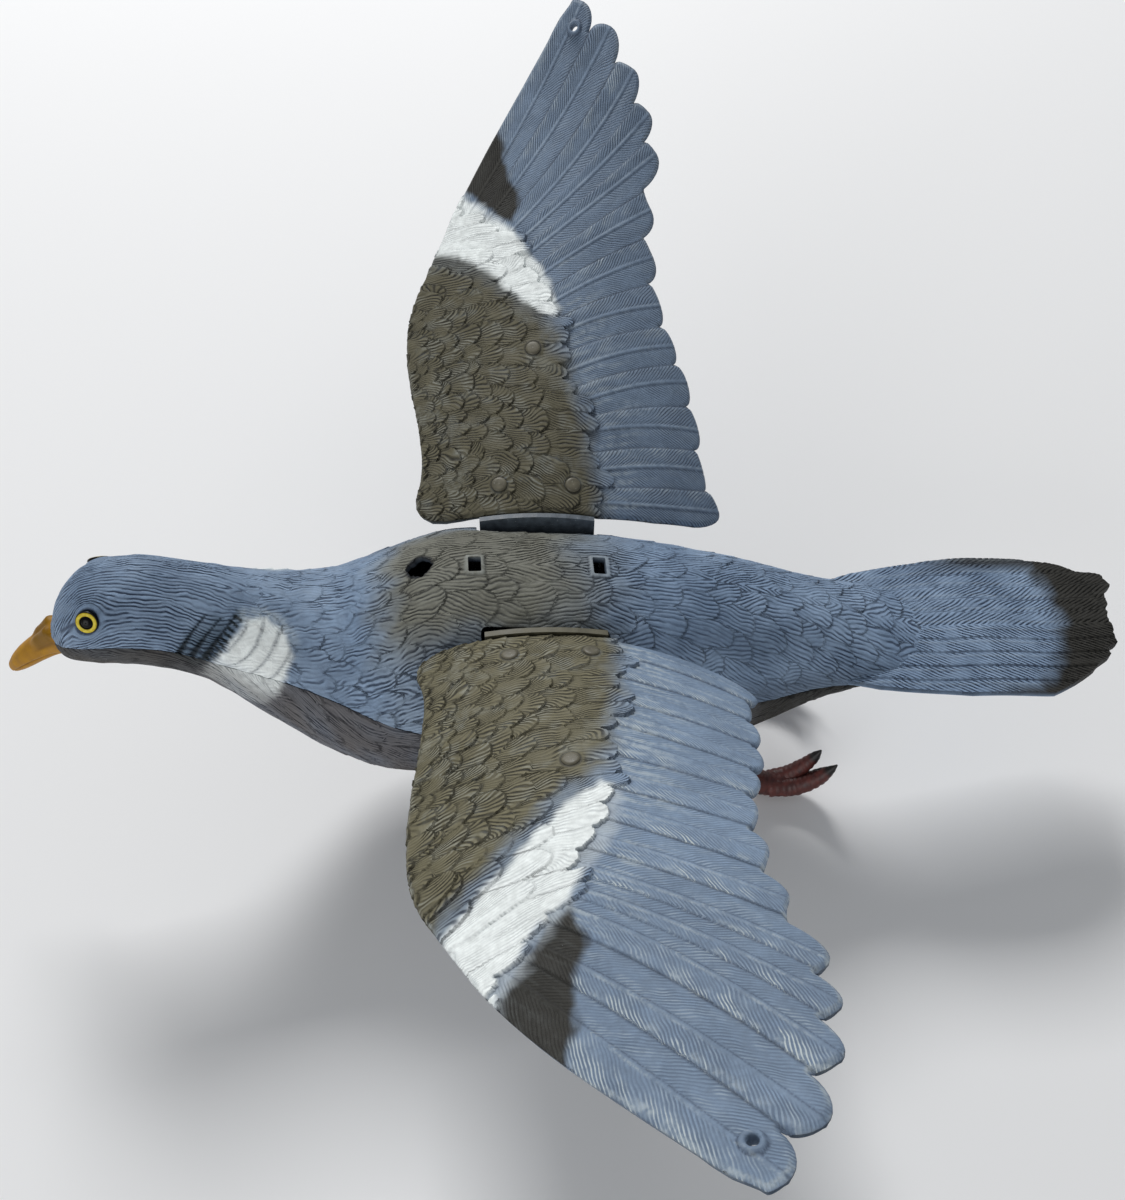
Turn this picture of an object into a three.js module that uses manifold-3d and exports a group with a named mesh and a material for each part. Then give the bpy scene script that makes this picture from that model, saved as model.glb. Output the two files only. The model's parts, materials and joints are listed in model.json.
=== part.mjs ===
// Motion wing decoy: a full-bodied wood pigeon whose outspread wings are flapped by a gear motor.
// Frame: millimetres, origin at the mouth of the stake socket in the belly, +X to the tail,
// +Y to the bird's right wing, +Z up. The wings are shown raised, as they rest.
import * as THREE from 'three';
import { mergeVertices } from 'three/addons/utils/BufferGeometryUtils.js';
import Module from 'manifold-3d';

const wasm = await Module();
wasm.setup();

// ---------------------------------------------------------------- driving dimensions

const GAP = 0.3; // space left between two pieces that touch
const WALL = 2.2; // body shell
const ROUND = 16; // facets of a small round piece

// Body sections: station X, height of the top, height of the bottom, half width.
const BODY = [
  [-172, 78.5, 64.5, 6.5], [-168, 88.8, 62.5, 11.3], [-158, 99.7, 61.5, 15.8], [-142, 103, 60, 17.9],
  [-122, 97.2, 51.5, 19.4], [-100, 87.5, 29.1, 25.7], [-77, 82.8, 8.3, 33.6], [-54, 88.6, 0.8, 41],
  [-32, 96.8, 1.6, 42.4], [-7, 95.8, 3, 39.8], [18, 93.4, 4.2, 37.8], [48, 86, 4, 35.4],
  [78, 76.8, 8.5, 30.9], [104, 66.5, 23, 24.5], [124, 56.5, 35, 23], [138, 51, 39.5, 21],
];
// Parting line between the upper and the lower shell: X, height.
const SEAM = [
  [-176, 72], [-164, 78.5], [-150, 81.8], [-134, 81.2], [-116, 75.2], [-98, 69.8], [-73, 61.6], [-47, 55.2],
  [0, 50.5], [72, 47], [110, 44.6], [142, 43.6],
];

// Tail fan: half outline, X and half width, and the plate's mid height along X.
const TAIL = [
  [104, 21], [124, 27], [150, 31], [176, 33.5], [196, 33], [208, 29], [216, 21], [221, 9], [222.5, 0],
];
const TAIL_HEIGHT = [[104, 47], [140, 47], [170, 46], [190, 43.5], [222.5, 42.8]];
const TAIL_THICK = 4;

const WING_ROOT = 28; // distance of the wing's root edge from the middle plane
const WING_THICK = 2.4;
const WING_TILT = 38; // X of the wing formula's zero
const WING_LEVEL = 81.5; // Z of the wing formula's zero
// Leading edge and flight feather tips: X and distance from the middle plane.
const LEADING = [
  [-45.2, 28], [-42.1, 48.7], [-42.4, 69], [-45.4, 90], [-46.6, 109], [-44, 129], [-34.7, 147.9],
  [-23, 168.5], [-12.5, 183], [6, 205], [16.5, 217], [22, 223.5], [28, 227.9],
];
const FEATHER_TIPS = [
  [72.6, 44.2], [67, 56.6], [66.5, 70.4], [63.2, 87.1], [58.9, 99], [54.6, 111.6], [53.1, 131], [53.7, 149],
  [57.6, 171], [55.7, 184.3], [50.5, 199.4], [42, 215], [31.5, 226],
];
const INNER_EDGE = [[23, 28], [45, 31], [60, 34.5]]; // from the root back to the first feather
const EYELET = { x: 27.5, y: 217.5, hole: 1.6, rim: 3.6, rise: 0.8 };

const RIVETS = [[-13, 39], [13.8, 38.4], [2.7, 91.7]];
const RIVET = { head: 2.85, headRise: 1.1, shank: 1.4, tail: 2.4, tailRise: 0.8 };

const HINGE = { y: 24.5, z: 71.5, pin: 1.6, bore: 1.8, barrel: 3.4, half: 21 };
const LEVER = { length: 20, droop: 15, end: 2.5, neck: 1.6, half: 2.8 };
const BRACKET_THICK = 1.6;
const FLANGE = { inner: 25.2, outer: 27.2, rise: 1 };

const CRANK = { z: 47.5, radius: 8.45, pin: 2, shaft: 2 };
const GEAR = { module: 0.8, teeth: 36, pinionTeeth: 12, from: 9.5, to: 12 };
const MOTOR = { gearbox: 16, gearboxR: 12, can: 20, canR: 10.5, screwY: 8.5 };
const PINION_Z = CRANK.z - (GEAR.module * (GEAR.teeth + GEAR.pinionTeeth)) / 2;
const CROSSHEAD_DROP = LEVER.length * Math.sin(THREE.MathUtils.degToRad(LEVER.droop));
const JAW = { half: 7.5, thick: 2.5, play: 0.4 };
const YOKE = { half: 18.5, tall: 4 }; // the crosshead's slotted bar, half height
const ROD = { x: 6.2, y: 15.5, r: 1.5, bore: 1.75 };

const BULKHEAD = { inner: 23.5, outer: 26.5 };
const POST = 3; // radius of the bulkhead round a hinge pin
const BASE = { from: 27.5, to: 30.5, half: 27 };
const PLATE = { from: 13, to: 16 };
const CHASSIS_SCREWS = [[-19, 17], [-19, -17], [7, 23], [7, -23]];
const SHELL_SCREWS = [[-110, 0], [-52, 30], [-52, -30], [80, 0]];
const COVER_SCREWS = [-70.6, -31.4];
const COVER = { from: -74, to: -28, half: 17, recess: 0.9 };
const SOCKET = { bore: 6.25, depth: 23, tube: 8.5, flange: 12.5, flangeThick: 2, top: 26 };
const BATTERY = { x: -51, z: 12.6, side: 31, height: 57, cell: 7, cellLength: 50.5 };
const SWITCH = { x: 53, length: 18, half: 4, from: 8.7, to: 15.9, travel: 4 };
const LATCH_WINDOWS = [[-23.3, 4.5, 6.6], [20.3, 4.6, 7.4]]; // X, length, width
const COLLAR = { wide: 1, rise: 0.5 }; // raised rim round a latch window
const BACK_HOLE = { x: -42.8, y: 3.6, r: 4.6 };
const BRACKET_SLOT = { half: 23.2, inner: 21.5, outer: 36.8, floor: 60 };
const EYE = { x: -154.2, y: 13.1, z: 92.9, r: 4 };

// ---------------------------------------------------------------- materials

const PAINT = {
  slate: [0x76859b, 0.62], belly: [0x4b4644, 0.7], olive: [0x5a5646, 0.72], feather: [0x7f8fa8, 0.65],
  beak: [0xc78f1e, 0.42], eye: [0xd9b020, 0.15], leg: [0x6a2f2a, 0.5], white: [0xe6e6e0, 0.45],
  black: [0x26282b, 0.5], steel: [0x9fa3a8, 0.35, 1], zinc: [0xb8b9b4, 0.4, 1], brass: [0xb89a4e, 0.35, 1],
  cell: [0x2f6b3c, 0.35],
};

function material(paint) {
  const [color, roughness, metalness = 0] = PAINT[paint];
  return new THREE.MeshStandardMaterial({ color, roughness, metalness });
}

const decoy = new THREE.Group();
decoy.name = 'motion_wing_decoy';

function addPiece(name, paint, shape) {
  const geometry = shape.isBufferGeometry ? shape : toGeometry(shape);
  const mesh = new THREE.Mesh(geometry, material(paint));
  mesh.name = name;
  decoy.add(mesh);
  return mesh;
}

// ---------------------------------------------------------------- solids

function toSolid(geometry) {
  const bare = geometry.clone();
  bare.deleteAttribute('normal');
  bare.deleteAttribute('uv');
  const merged = mergeVertices(bare, 1e-4);
  return new wasm.Manifold(new wasm.Mesh({
    numProp: 3,
    vertProperties: merged.attributes.position.array,
    triVerts: new Uint32Array(merged.index.array),
  }));
}

function toGeometry(solid) {
  const { vertProperties, triVerts } = solid.getMesh();
  const geometry = new THREE.BufferGeometry();
  geometry.setAttribute('position', new THREE.BufferAttribute(vertProperties, 3));
  geometry.setIndex(new THREE.BufferAttribute(triVerts, 1));
  geometry.computeVertexNormals();
  return geometry;
}

function box(x0, x1, y0, y1, z0, z1) {
  const geometry = new THREE.BoxGeometry(x1 - x0, y1 - y0, z1 - z0);
  geometry.translate((x0 + x1) / 2, (y0 + y1) / 2, (z0 + z1) / 2);
  return toSolid(geometry);
}

function rodX(x0, x1, y, z, r, facets = ROUND) {
  const geometry = new THREE.CylinderGeometry(r, r, x1 - x0, facets);
  geometry.rotateZ(Math.PI / 2).translate((x0 + x1) / 2, y, z);
  return toSolid(geometry);
}

function rodZ(x, y, z0, z1, r, facets = ROUND) {
  const geometry = new THREE.CylinderGeometry(r, r, z1 - z0, facets);
  geometry.rotateX(Math.PI / 2).translate(x, y, (z0 + z1) / 2);
  return toSolid(geometry);
}

// A round piece from its half profile (radius, height), turned about +Z.
function turned(profile, facets = ROUND) {
  const geometry = new THREE.LatheGeometry(profile.map(([r, h]) => new THREE.Vector2(r, h)), facets);
  geometry.rotateX(Math.PI / 2);
  return toSolid(geometry);
}

// A flat outline in Y and Z, made solid from x0 to x1.
function slabX(outline, x0, x1) {
  const shape = new THREE.Shape(outline.map(([y, z]) => new THREE.Vector2(y, z)));
  const geometry = new THREE.ExtrudeGeometry(shape, { depth: x1 - x0, bevelEnabled: false });
  geometry.applyMatrix4(new THREE.Matrix4().makeBasis(
    new THREE.Vector3(0, 1, 0), new THREE.Vector3(0, 0, 1), new THREE.Vector3(1, 0, 0),
  ));
  geometry.translate(x0, 0, 0);
  return toSolid(geometry);
}

// A flat outline in X and Z, made solid from y0 to y1.
function slabY(outline, y0, y1) {
  const shape = new THREE.Shape(outline.map(([x, z]) => new THREE.Vector2(x, -z)));
  const geometry = new THREE.ExtrudeGeometry(shape, { depth: y1 - y0, bevelEnabled: false });
  geometry.rotateX(-Math.PI / 2).translate(0, y0, 0);
  return toSolid(geometry);
}

// A closed skin through rings of equally many points. Each end is a ladder of triangles from side to side.
function loft(rings) {
  const count = rings[0].length;
  const points = rings.flat();
  const index = [];
  for (let i = 0; i < rings.length - 1; i += 1) {
    for (let j = 0; j < count; j += 1) {
      const a = i * count + j;
      const b = i * count + ((j + 1) % count);
      index.push(a, b, b + count, a, b + count, a + count);
    }
  }
  const last = (rings.length - 1) * count;
  let low = 0;
  let high = count - 1;
  while (high - low > 1) {
    index.push(low, high, low + 1, last + low, last + low + 1, last + high);
    low += 1;
    if (high - low > 1) {
      index.push(low, high, high - 1, last + low, last + high - 1, last + high);
      high -= 1;
    }
  }
  const geometry = new THREE.BufferGeometry();
  const places = points.flatMap((p) => [p.x, p.y, p.z]);
  geometry.setAttribute('position', new THREE.Float32BufferAttribute(places, 3));
  geometry.setIndex(index);
  return toSolid(geometry);
}

// Smooth values between stations whose first number is the position.
function along(stations) {
  const size = stations[0].length - 1;
  const spline = new THREE.CubicInterpolant(
    stations.map((s) => s[0]), stations.flatMap((s) => s.slice(1)), size, new Float64Array(size));
  return (x) => [...spline.evaluate(x)];
}

function range(from, to, count) {
  return Array.from({ length: count + 1 }, (_, i) => from + ((to - from) * i) / count);
}

function mirrored(solid, side) {
  return side > 0 ? solid : solid.mirror([0, 1, 0]);
}

// Moves a piece made about +Z to a place, with +Z turned to the given direction.
function placed(solid, place, direction) {
  const turn = new THREE.Quaternion().setFromUnitVectors(new THREE.Vector3(0, 0, 1), direction);
  const matrix = new THREE.Matrix4().compose(place, turn, new THREE.Vector3(1, 1, 1));
  return solid.transform(matrix.elements);
}

// ---------------------------------------------------------------- body shells

const bodyAt = along(BODY);
const seamAt = along(SEAM);
const tailHeightAt = along(TAIL_HEIGHT);

function bodyLoft(inset, facets, steps) {
  const from = BODY[0][0] + inset * 2;
  const to = BODY[BODY.length - 1][0] - inset;
  const stations = [...range(from, from + 14, 4).slice(0, -1), ...range(from + 14, to, steps)];
  return loft(stations.map((x) => {
    const [top, bottom, half] = bodyAt(x);
    const tall = Math.max((top - bottom) / 2 - inset, 0.6);
    const wide = Math.max(half - inset, 0.6);
    return Array.from({ length: facets }, (_, j) => {
      const angle = (2 * Math.PI * j) / facets;
      return new THREE.Vector3(x, wide * Math.cos(angle), (top + bottom) / 2 + tall * Math.sin(angle));
    });
  }));
}

// Everything above (or below) the parting line, with half the gap taken off.
function seamSide(above) {
  const reach = 130;
  const line = range(-176, 142, 40).map((x) => [x, seamAt(x)[0] + (above ? GAP / 2 : -GAP / 2)]);
  const edge = above ? reach : -reach;
  const outline = [[-230, line[0][1]], ...line, [230, line[line.length - 1][1]], [230, edge], [-230, edge]];
  return slabY(outline, -80, 80);
}

function tailPlate(grow) {
  const halfAt = along(TAIL);
  const stations = range(TAIL[0][0], TAIL[TAIL.length - 1][0], 22);
  return loft(stations.map((x, i) => {
    const half = i === stations.length - 1 ? 1 : Math.max(halfAt(x)[0], 1) + grow;
    const [height] = tailHeightAt(x);
    const tall = TAIL_THICK / 2 + grow;
    const edge = [[1, 0], [0.86, 0.7], [0.5, 1], [0, 1.1], [-0.5, 1], [-0.86, 0.7]];
    return [...edge, ...edge.map(([y, z]) => [-y, -z])].map(([y, z]) => (
      new THREE.Vector3(x, half * y, height + tall * z)));
  }));
}

function latchWindow([x, long, wide], grow, z0, z1) {
  return box(x - long / 2 - grow, x + long / 2 + grow, -wide / 2 - grow, wide / 2 + grow, z0, z1);
}

function surfaceTop(x, y) {
  const [top, bottom, half] = bodyAt(x);
  return (top + bottom) / 2 + ((top - bottom) / 2) * Math.sqrt(1 - (y / half) ** 2);
}

function eyeDirection(side) {
  return new THREE.Vector3(-0.12, 0.85 * side, 0.52).normalize();
}

function beakSolid(grow) {
  const base = new THREE.Vector3(-161, 0, 71.5);
  const tip = new THREE.Vector3(-194.9, 0, 51.4);
  const sections = [
    [0, 4.5, 5], [0.16, 5.2, 6.2], [0.3, 5.6, 6.6], [0.45, 4.9, 5.4], [0.62, 4.1, 4.8],
    [0.8, 3.2, 4.1], [0.93, 2.1, 2.7], [1, 0.7, 0.9],
  ];
  const forward = tip.clone().sub(base).normalize();
  const up = new THREE.Vector3(0, 1, 0).cross(forward).multiplyScalar(-1);
  const lift = up.z < 0 ? -1 : 1;
  return loft(sections.map(([t, wide, tall]) => {
    const centre = base.clone().lerp(tip, t).addScaledVector(up, lift * 2.4 * Math.sin(Math.PI * t));
    return Array.from({ length: 14 }, (_, j) => {
      const angle = (-2 * Math.PI * j) / 14;
      return centre.clone().addScaledVector(up, lift * (tall + grow) * Math.sin(angle))
        .add(new THREE.Vector3(0, (wide + grow) * Math.cos(angle), 0));
    });
  }));
}

const outer = bodyLoft(0, 26, 18);
const inner = bodyLoft(WALL, 16, 12);
const skin = outer.subtract(inner);

function bracketSlot(side) {
  const { half, inner: near, outer: far, floor } = BRACKET_SLOT;
  return mirrored(box(-half, half, near, far, floor, 110), side);
}

function upperShell() {
  let shell = skin.subtract(tailPlate(-0.5)).intersect(seamSide(true));
  shell = shell.add(tailPlate(0).subtract(inner));
  for (const [x, y] of SHELL_SCREWS) {
    const boss = rodZ(x, y, seamAt(x)[0] + GAP / 2, surfaceTop(x, y), 4);
    shell = shell.add(boss.intersect(outer)).subtract(rodZ(x, y, 0, seamAt(x)[0] + 13, 1.7, 12));
  }
  for (const window of LATCH_WINDOWS) {
    const top = surfaceTop(window[0], 0);
    shell = shell.add(latchWindow(window, COLLAR.wide, top - WALL, top + COLLAR.rise));
    shell = shell.subtract(latchWindow(window, 0, 80, 110));
  }
  shell = shell.subtract(rodZ(BACK_HOLE.x, BACK_HOLE.y, 80, 110, BACK_HOLE.r));
  for (const side of [1, -1]) {
    const eye = new THREE.Vector3(EYE.x, EYE.y * side, EYE.z);
    shell = shell.subtract(bracketSlot(side));
    shell = shell.subtract(placed(rodZ(0, 0, -6, 6, EYE.r - 0.5), eye, eyeDirection(side)));
  }
  return shell.subtract(beakSolid(GAP));
}

const LEG_ROOT = { top: new THREE.Vector3(56, 20, 16), ankle: new THREE.Vector3(68, 22, -0.5), r: 4.2 };

function legHole(side) {
  const { top, ankle, r } = LEG_ROOT;
  const down = ankle.clone().sub(top).normalize();
  return mirrored(placed(rodZ(0, 0, -8, 30, r + 0.6), top, down), side);
}

function lowerShell() {
  let shell = skin.intersect(seamSide(false)).subtract(tailPlate(GAP));
  const floor = (part) => part.intersect(outer);
  for (const [x, y] of SHELL_SCREWS) {
    shell = shell.add(floor(rodZ(x, y, -5, seamAt(x)[0] - GAP / 2, 5)));
    shell = shell.subtract(rodZ(x, y, -20, seamAt(x)[0] - 10, 3.6, 12));
    shell = shell.subtract(rodZ(x, y, -20, 120, 1.8, 12));
  }
  for (const [x, y] of CHASSIS_SCREWS) {
    shell = shell.add(floor(rodZ(x, y, -5, BASE.from - GAP, 4))).subtract(rodZ(x, y, 16, 40, 1.6, 12));
  }
  for (const x of COVER_SCREWS) {
    shell = shell.add(floor(box(x - 3.1, x + 3.1, -21, 21, -5, 18)));
  }
  shell = shell.add(rodZ(0, 0, SOCKET.flangeThick + GAP, 8, SOCKET.flange, 24));
  shell = shell.subtract(rodZ(0, 0, -5, 30, SOCKET.tube + GAP, 24));
  shell = shell.subtract(box(COVER.from - GAP, COVER.to + GAP, -COVER.half - GAP, COVER.half + GAP, -20, 40)
    .subtract(bodyLoft(WALL + GAP, 16, 12)));
  for (const x of COVER_SCREWS) {
    shell = shell.subtract(rodZ(x, 0, -5, 18, 1.4, 12));
  }
  const { x, travel } = SWITCH;
  shell = shell.subtract(box(x - travel - 0.7, x + travel + 0.7, -2.4, 2.4, -5, 12));
  return shell.subtract(legHole(1)).subtract(legHole(-1)).subtract(beakSolid(GAP));
}

function batteryCover() {
  let cover = skin.intersect(seamSide(false))
    .intersect(box(COVER.from, COVER.to, -COVER.half, COVER.half, -20, 30));
  for (const x of COVER_SCREWS) {
    cover = cover.subtract(rodZ(x, 0, -5, 30, 1.8, 12));
    cover = cover.subtract(rodZ(x, 0, -5, bodyAt(x)[1] + COVER.recess, 3.3, 12));
  }
  return cover;
}

addPiece('upper_shell', 'slate', upperShell());
addPiece('lower_shell', 'belly', lowerShell());
addPiece('battery_cover', 'belly', batteryCover());
addPiece('beak', 'beak', beakSolid(0));

for (const side of [1, -1]) {
  const hand = side > 0 ? 'right' : 'left';
  const dome = turned([[0, -3], [3.1, -3], [3.1, 0.3], [EYE.r, 0.3], [3.6, 1.2], [2.4, 1.9], [0, 2.2]]);
  const place = new THREE.Vector3(EYE.x, EYE.y * side, EYE.z);
  addPiece(`${hand}_eye`, 'eye', placed(dome, place, eyeDirection(side)));
}

// ---------------------------------------------------------------- legs

// A tapering limb: points with a radius each.
function limb(stations, facets = 8) {
  const curve = new THREE.CatmullRomCurve3(stations.map(([x, y, z]) => new THREE.Vector3(x, y, z)));
  const steps = stations.length * 2;
  const frames = curve.computeFrenetFrames(steps, false);
  const rings = range(0, 1, steps).map((t, i) => {
    const centre = curve.getPoint(t);
    const at = Math.min(t * (stations.length - 1), stations.length - 1.001);
    const r = THREE.MathUtils.lerp(stations[Math.floor(at)][3], stations[Math.floor(at) + 1][3], at % 1);
    return Array.from({ length: facets }, (_, j) => {
      const angle = (2 * Math.PI * j) / facets;
      return centre.clone().addScaledVector(frames.normals[i], r * Math.cos(angle))
        .addScaledVector(frames.binormals[i], r * Math.sin(angle));
    });
  });
  return loft(rings);
}

function leg() {
  const { top, ankle, r } = LEG_ROOT;
  const foot = [[80, 23.6, -14, 4.8], [91, 24, -24, 5.2], [101, 24, -22.5, 5]];
  const shank = limb([[...top, r], [...ankle, r], ...foot]);
  const toes = [
    limb([[94, 22.5, -24.5, 3.4], [105, 21.5, -20, 3], [113, 20.5, -12.5, 2.4], [118, 20, -4.5, 1]]),
    limb([[94, 25.5, -24.5, 3.6], [107, 27.5, -21, 3.2], [116, 28.5, -14, 2.4], [122, 29, -6, 1]]),
    limb([[94, 24, -26, 3.2], [105, 24.5, -24.5, 3], [114, 24.5, -20, 2.2], [119, 24.5, -13.5, 1]]),
  ];
  return toes.reduce((sum, toe) => sum.add(toe), shank);
}

for (const side of [1, -1]) {
  addPiece(side > 0 ? 'right_leg' : 'left_leg', 'leg', mirrored(leg(), side));
}

// ---------------------------------------------------------------- wings

// Height of the wing's upper surface at X and at a distance from the middle plane.
function wingHeight(x, y) {
  const u = x - WING_TILT;
  const w = y - 27;
  const q = w / 100;
  const sweep = 0.505 * w - 0.989e-3 * w * w + 5.27e-6 * w ** 3;
  const twist = u * (-0.556 + 0.249 * q + 0.058 * q * q);
  return WING_LEVEL + sweep + twist - 5.091e-3 * (u - 10) ** 2;
}

function wingNormal(x, y) {
  const d = 0.5;
  const slopeX = (wingHeight(x + d, y) - wingHeight(x - d, y)) / (2 * d);
  const slopeY = (wingHeight(x, y + d) - wingHeight(x, y - d)) / (2 * d);
  return new THREE.Vector3(-slopeX, -slopeY, 1).normalize();
}

// A bent plate under the wing surface: rows of [distance out, X from, X to].
function bentPlate(rows, columns, top, thick) {
  const rings = rows.map(([y, from, to]) => {
    const xs = range(from, to, columns);
    const upper = xs.map((x) => new THREE.Vector3(x, y, wingHeight(x, y) - top));
    const lower = xs.map((x) => new THREE.Vector3(x, y, wingHeight(x, y) - top - thick));
    return [...upper, ...lower.reverse()];
  });
  return loft(rings);
}

function leadingEdge(y) {
  return along(LEADING.map(([x, out]) => [out, x]))(y)[0];
}

// Rear edge of the wing: rows down the inner edge, then a scallop round each feather tip.
function rearRows() {
  const rows = INNER_EDGE.map(([x, y]) => [y, x]);
  const tips = FEATHER_TIPS;
  const halfway = (i) => [(tips[i][0] + tips[i + 1][0]) / 2, (tips[i][1] + tips[i + 1][1]) / 2];
  for (let i = 0; i < tips.length; i += 1) {
    const depth = 2.4 + 4.2 * (i / (tips.length - 1)) ** 2;
    const [tipX, tipY] = tips[i];
    const from = i === 0 ? [66, 38] : halfway(i - 1);
    const notch = (side) => side[0] - depth;
    const rise = (start, t) => THREE.MathUtils.lerp(start, tipX, Math.sqrt(t));
    rows.push([from[1] + 0.1, notch(from)]);
    rows.push([THREE.MathUtils.lerp(from[1], tipY, 0.4), rise(notch(from), 0.4)]);
    rows.push([tipY, tipX]);
    if (i < tips.length - 1) {
      const to = halfway(i);
      rows.push([THREE.MathUtils.lerp(to[1], tipY, 0.4), rise(notch(to), 0.4)]);
    }
  }
  rows.push([227.9, 29.6]);
  return rows;
}

function wing() {
  const rows = rearRows().map(([y, rear]) => [y, leadingEdge(y), rear]);
  let plate = bentPlate(rows, 5, 0, WING_THICK);
  const eyelet = new THREE.Vector3(EYELET.x, EYELET.y, wingHeight(EYELET.x, EYELET.y));
  const up = wingNormal(EYELET.x, EYELET.y);
  plate = plate.add(placed(rodZ(0, 0, -WING_THICK + 0.4, EYELET.rise, EYELET.rim), eyelet, up));
  plate = plate.subtract(placed(rodZ(0, 0, -8, 8, EYELET.hole, 12), eyelet, up));
  return rivetHoles(plate);
}

function rivetHoles(plate) {
  let drilled = plate;
  for (const [x, y] of RIVETS) {
    const hole = rodZ(0, 0, -12, 6, RIVET.shank + GAP, 12);
    drilled = drilled.subtract(placed(hole, new THREE.Vector3(x, y, wingHeight(x, y)), wingNormal(x, y)));
  }
  return drilled;
}

// ---------------------------------------------------------------- wing brackets

const ARM_TOP = WING_THICK + 0.8; // bracket plate's depth under the wing surface

function flangeWeb() {
  const xs = range(-HINGE.half, HINGE.half, 8);
  const outline = [[-HINGE.half, HINGE.z], [HINGE.half, HINGE.z],
    ...xs.reverse().map((x) => [x, wingHeight(x, WING_ROOT) + FLANGE.rise])];
  return slabY(outline, FLANGE.inner, FLANGE.outer);
}

function leverArm() {
  const outline = new THREE.Shape();
  const { length, end, neck } = LEVER;
  outline.moveTo(0, -neck);
  outline.lineTo(0, neck);
  outline.lineTo(-length, neck);
  outline.lineTo(-length, -neck);
  const bar = slabX(outline.getPoints().map((p) => [p.x, p.y]), -LEVER.half, LEVER.half);
  const arm = bar.add(rodX(-LEVER.half, LEVER.half, -length, 0, end, 20));
  const pose = new THREE.Matrix4().makeTranslation(0, HINGE.y, HINGE.z)
    .multiply(new THREE.Matrix4().makeRotationX(THREE.MathUtils.degToRad(LEVER.droop)));
  return arm.transform(pose.elements);
}

function bracket() {
  const half = HINGE.half;
  const rows = [[26.6, -half, half], [36, -half, half], [46, -half, half], [60, -15, 16], [76, -8, 12],
    [90, -3.5, 9], [96, -2, 7.5], [98, 0, 5.5]];
  let piece = bentPlate(rows, 4, ARM_TOP, BRACKET_THICK);
  piece = piece.add(flangeWeb()).add(rodX(-half, half, HINGE.y, HINGE.z, HINGE.barrel, 20));
  piece = piece.add(leverArm());
  piece = piece.subtract(rodX(-half - 5, half + 5, HINGE.y, HINGE.z, HINGE.bore));
  return rivetHoles(piece);
}

function rivet([x, y]) {
  const under = -(ARM_TOP + BRACKET_THICK + GAP);
  const { head, headRise, shank, tail, tailRise } = RIVET;
  const top = GAP + headRise;
  const profile = [[0, under - tailRise], [tail, under - tailRise], [tail, under], [shank, under],
    [shank, GAP], [head, GAP], [head * 0.86, GAP + headRise * 0.7], [head * 0.5, top], [0, top]];
  return placed(turned(profile, 10), new THREE.Vector3(x, y, wingHeight(x, y)), wingNormal(x, y));
}

for (const side of [1, -1]) {
  const hand = side > 0 ? 'right' : 'left';
  addPiece(`${hand}_wing`, 'feather', mirrored(wing(), side));
  addPiece(`${hand}_wing_bracket`, 'olive', mirrored(bracket(), side));
  RIVETS.forEach((spot, i) => addPiece(`${hand}_wing_rivet_${i + 1}`, 'olive', mirrored(rivet(spot), side)));
  const pin = rodX(-BULKHEAD.outer - 0.5, BULKHEAD.outer + 0.5, HINGE.y * side, HINGE.z, HINGE.pin);
  addPiece(`${hand}_hinge_pin`, 'steel', pin);
}

// ---------------------------------------------------------------- chassis

function bulkheadOutline(bottom, bottomHalf) {
  const post = range(0, 1, 4).map((t) => {
    const angle = Math.PI * t;
    return [HINGE.y + POST * Math.cos(angle), HINGE.z + POST * Math.sin(angle)];
  });
  const foot = [[bottomHalf, bottom], [HINGE.y + POST, bottom + 12]];
  const right = [...foot, ...post, [HINGE.y - POST, 66], [14, 62]];
  const left = [...right].reverse().map(([y, z]) => [-y, z]);
  return [...right, ...left];
}

function chassis() {
  const { inner: near, outer: far } = BULKHEAD;
  let frame = box(-far, PLATE.to, -BASE.half, BASE.half, BASE.from, BASE.to);
  frame = frame.add(slabX(bulkheadOutline(BASE.from, 22), -far, -near));
  frame = frame.add(slabX(bulkheadOutline(43.5, 20), near, far));
  const plate = [[13, 14.5], [20, BASE.from], [20, 62.5], [-20, 62.5], [-20, BASE.from], [-13, 14.5]];
  frame = frame.add(slabX(plate, PLATE.from, PLATE.to));
  frame = frame.subtract(box(8.5, PLATE.from, -11.5, 11.5, 20, 31));
  for (const side of [1, -1]) {
    frame = frame.add(mirrored(box(PLATE.to - 1, near + 1, 16.5, 19.5, 44, 58), side));
    frame = frame.add(mirrored(box(3.4, PLATE.from + 1, 12.5, 18.5, 60.3, 62.5), side));
    frame = frame.subtract(rodX(-far - 5, far + 5, HINGE.y * side, HINGE.z, HINGE.bore));
    frame = frame.subtract(rodZ(ROD.x, ROD.y * side, 26, 64, ROD.bore, 12));
    frame = frame.subtract(rodX(12, 17, MOTOR.screwY * side, PINION_Z, 1.5, 12));
  }
  frame = frame.subtract(rodX(12, 30, 0, CRANK.z, CRANK.shaft + GAP));
  frame = frame.subtract(rodX(12, 17, 0, PINION_Z, 2.6));
  for (const [x, y] of CHASSIS_SCREWS) {
    frame = frame.subtract(rodZ(x, y, 26, 32, 1.7, 12));
  }
  return frame;
}

addPiece('chassis', 'black', chassis());

// ---------------------------------------------------------------- crosshead and crank

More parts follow.
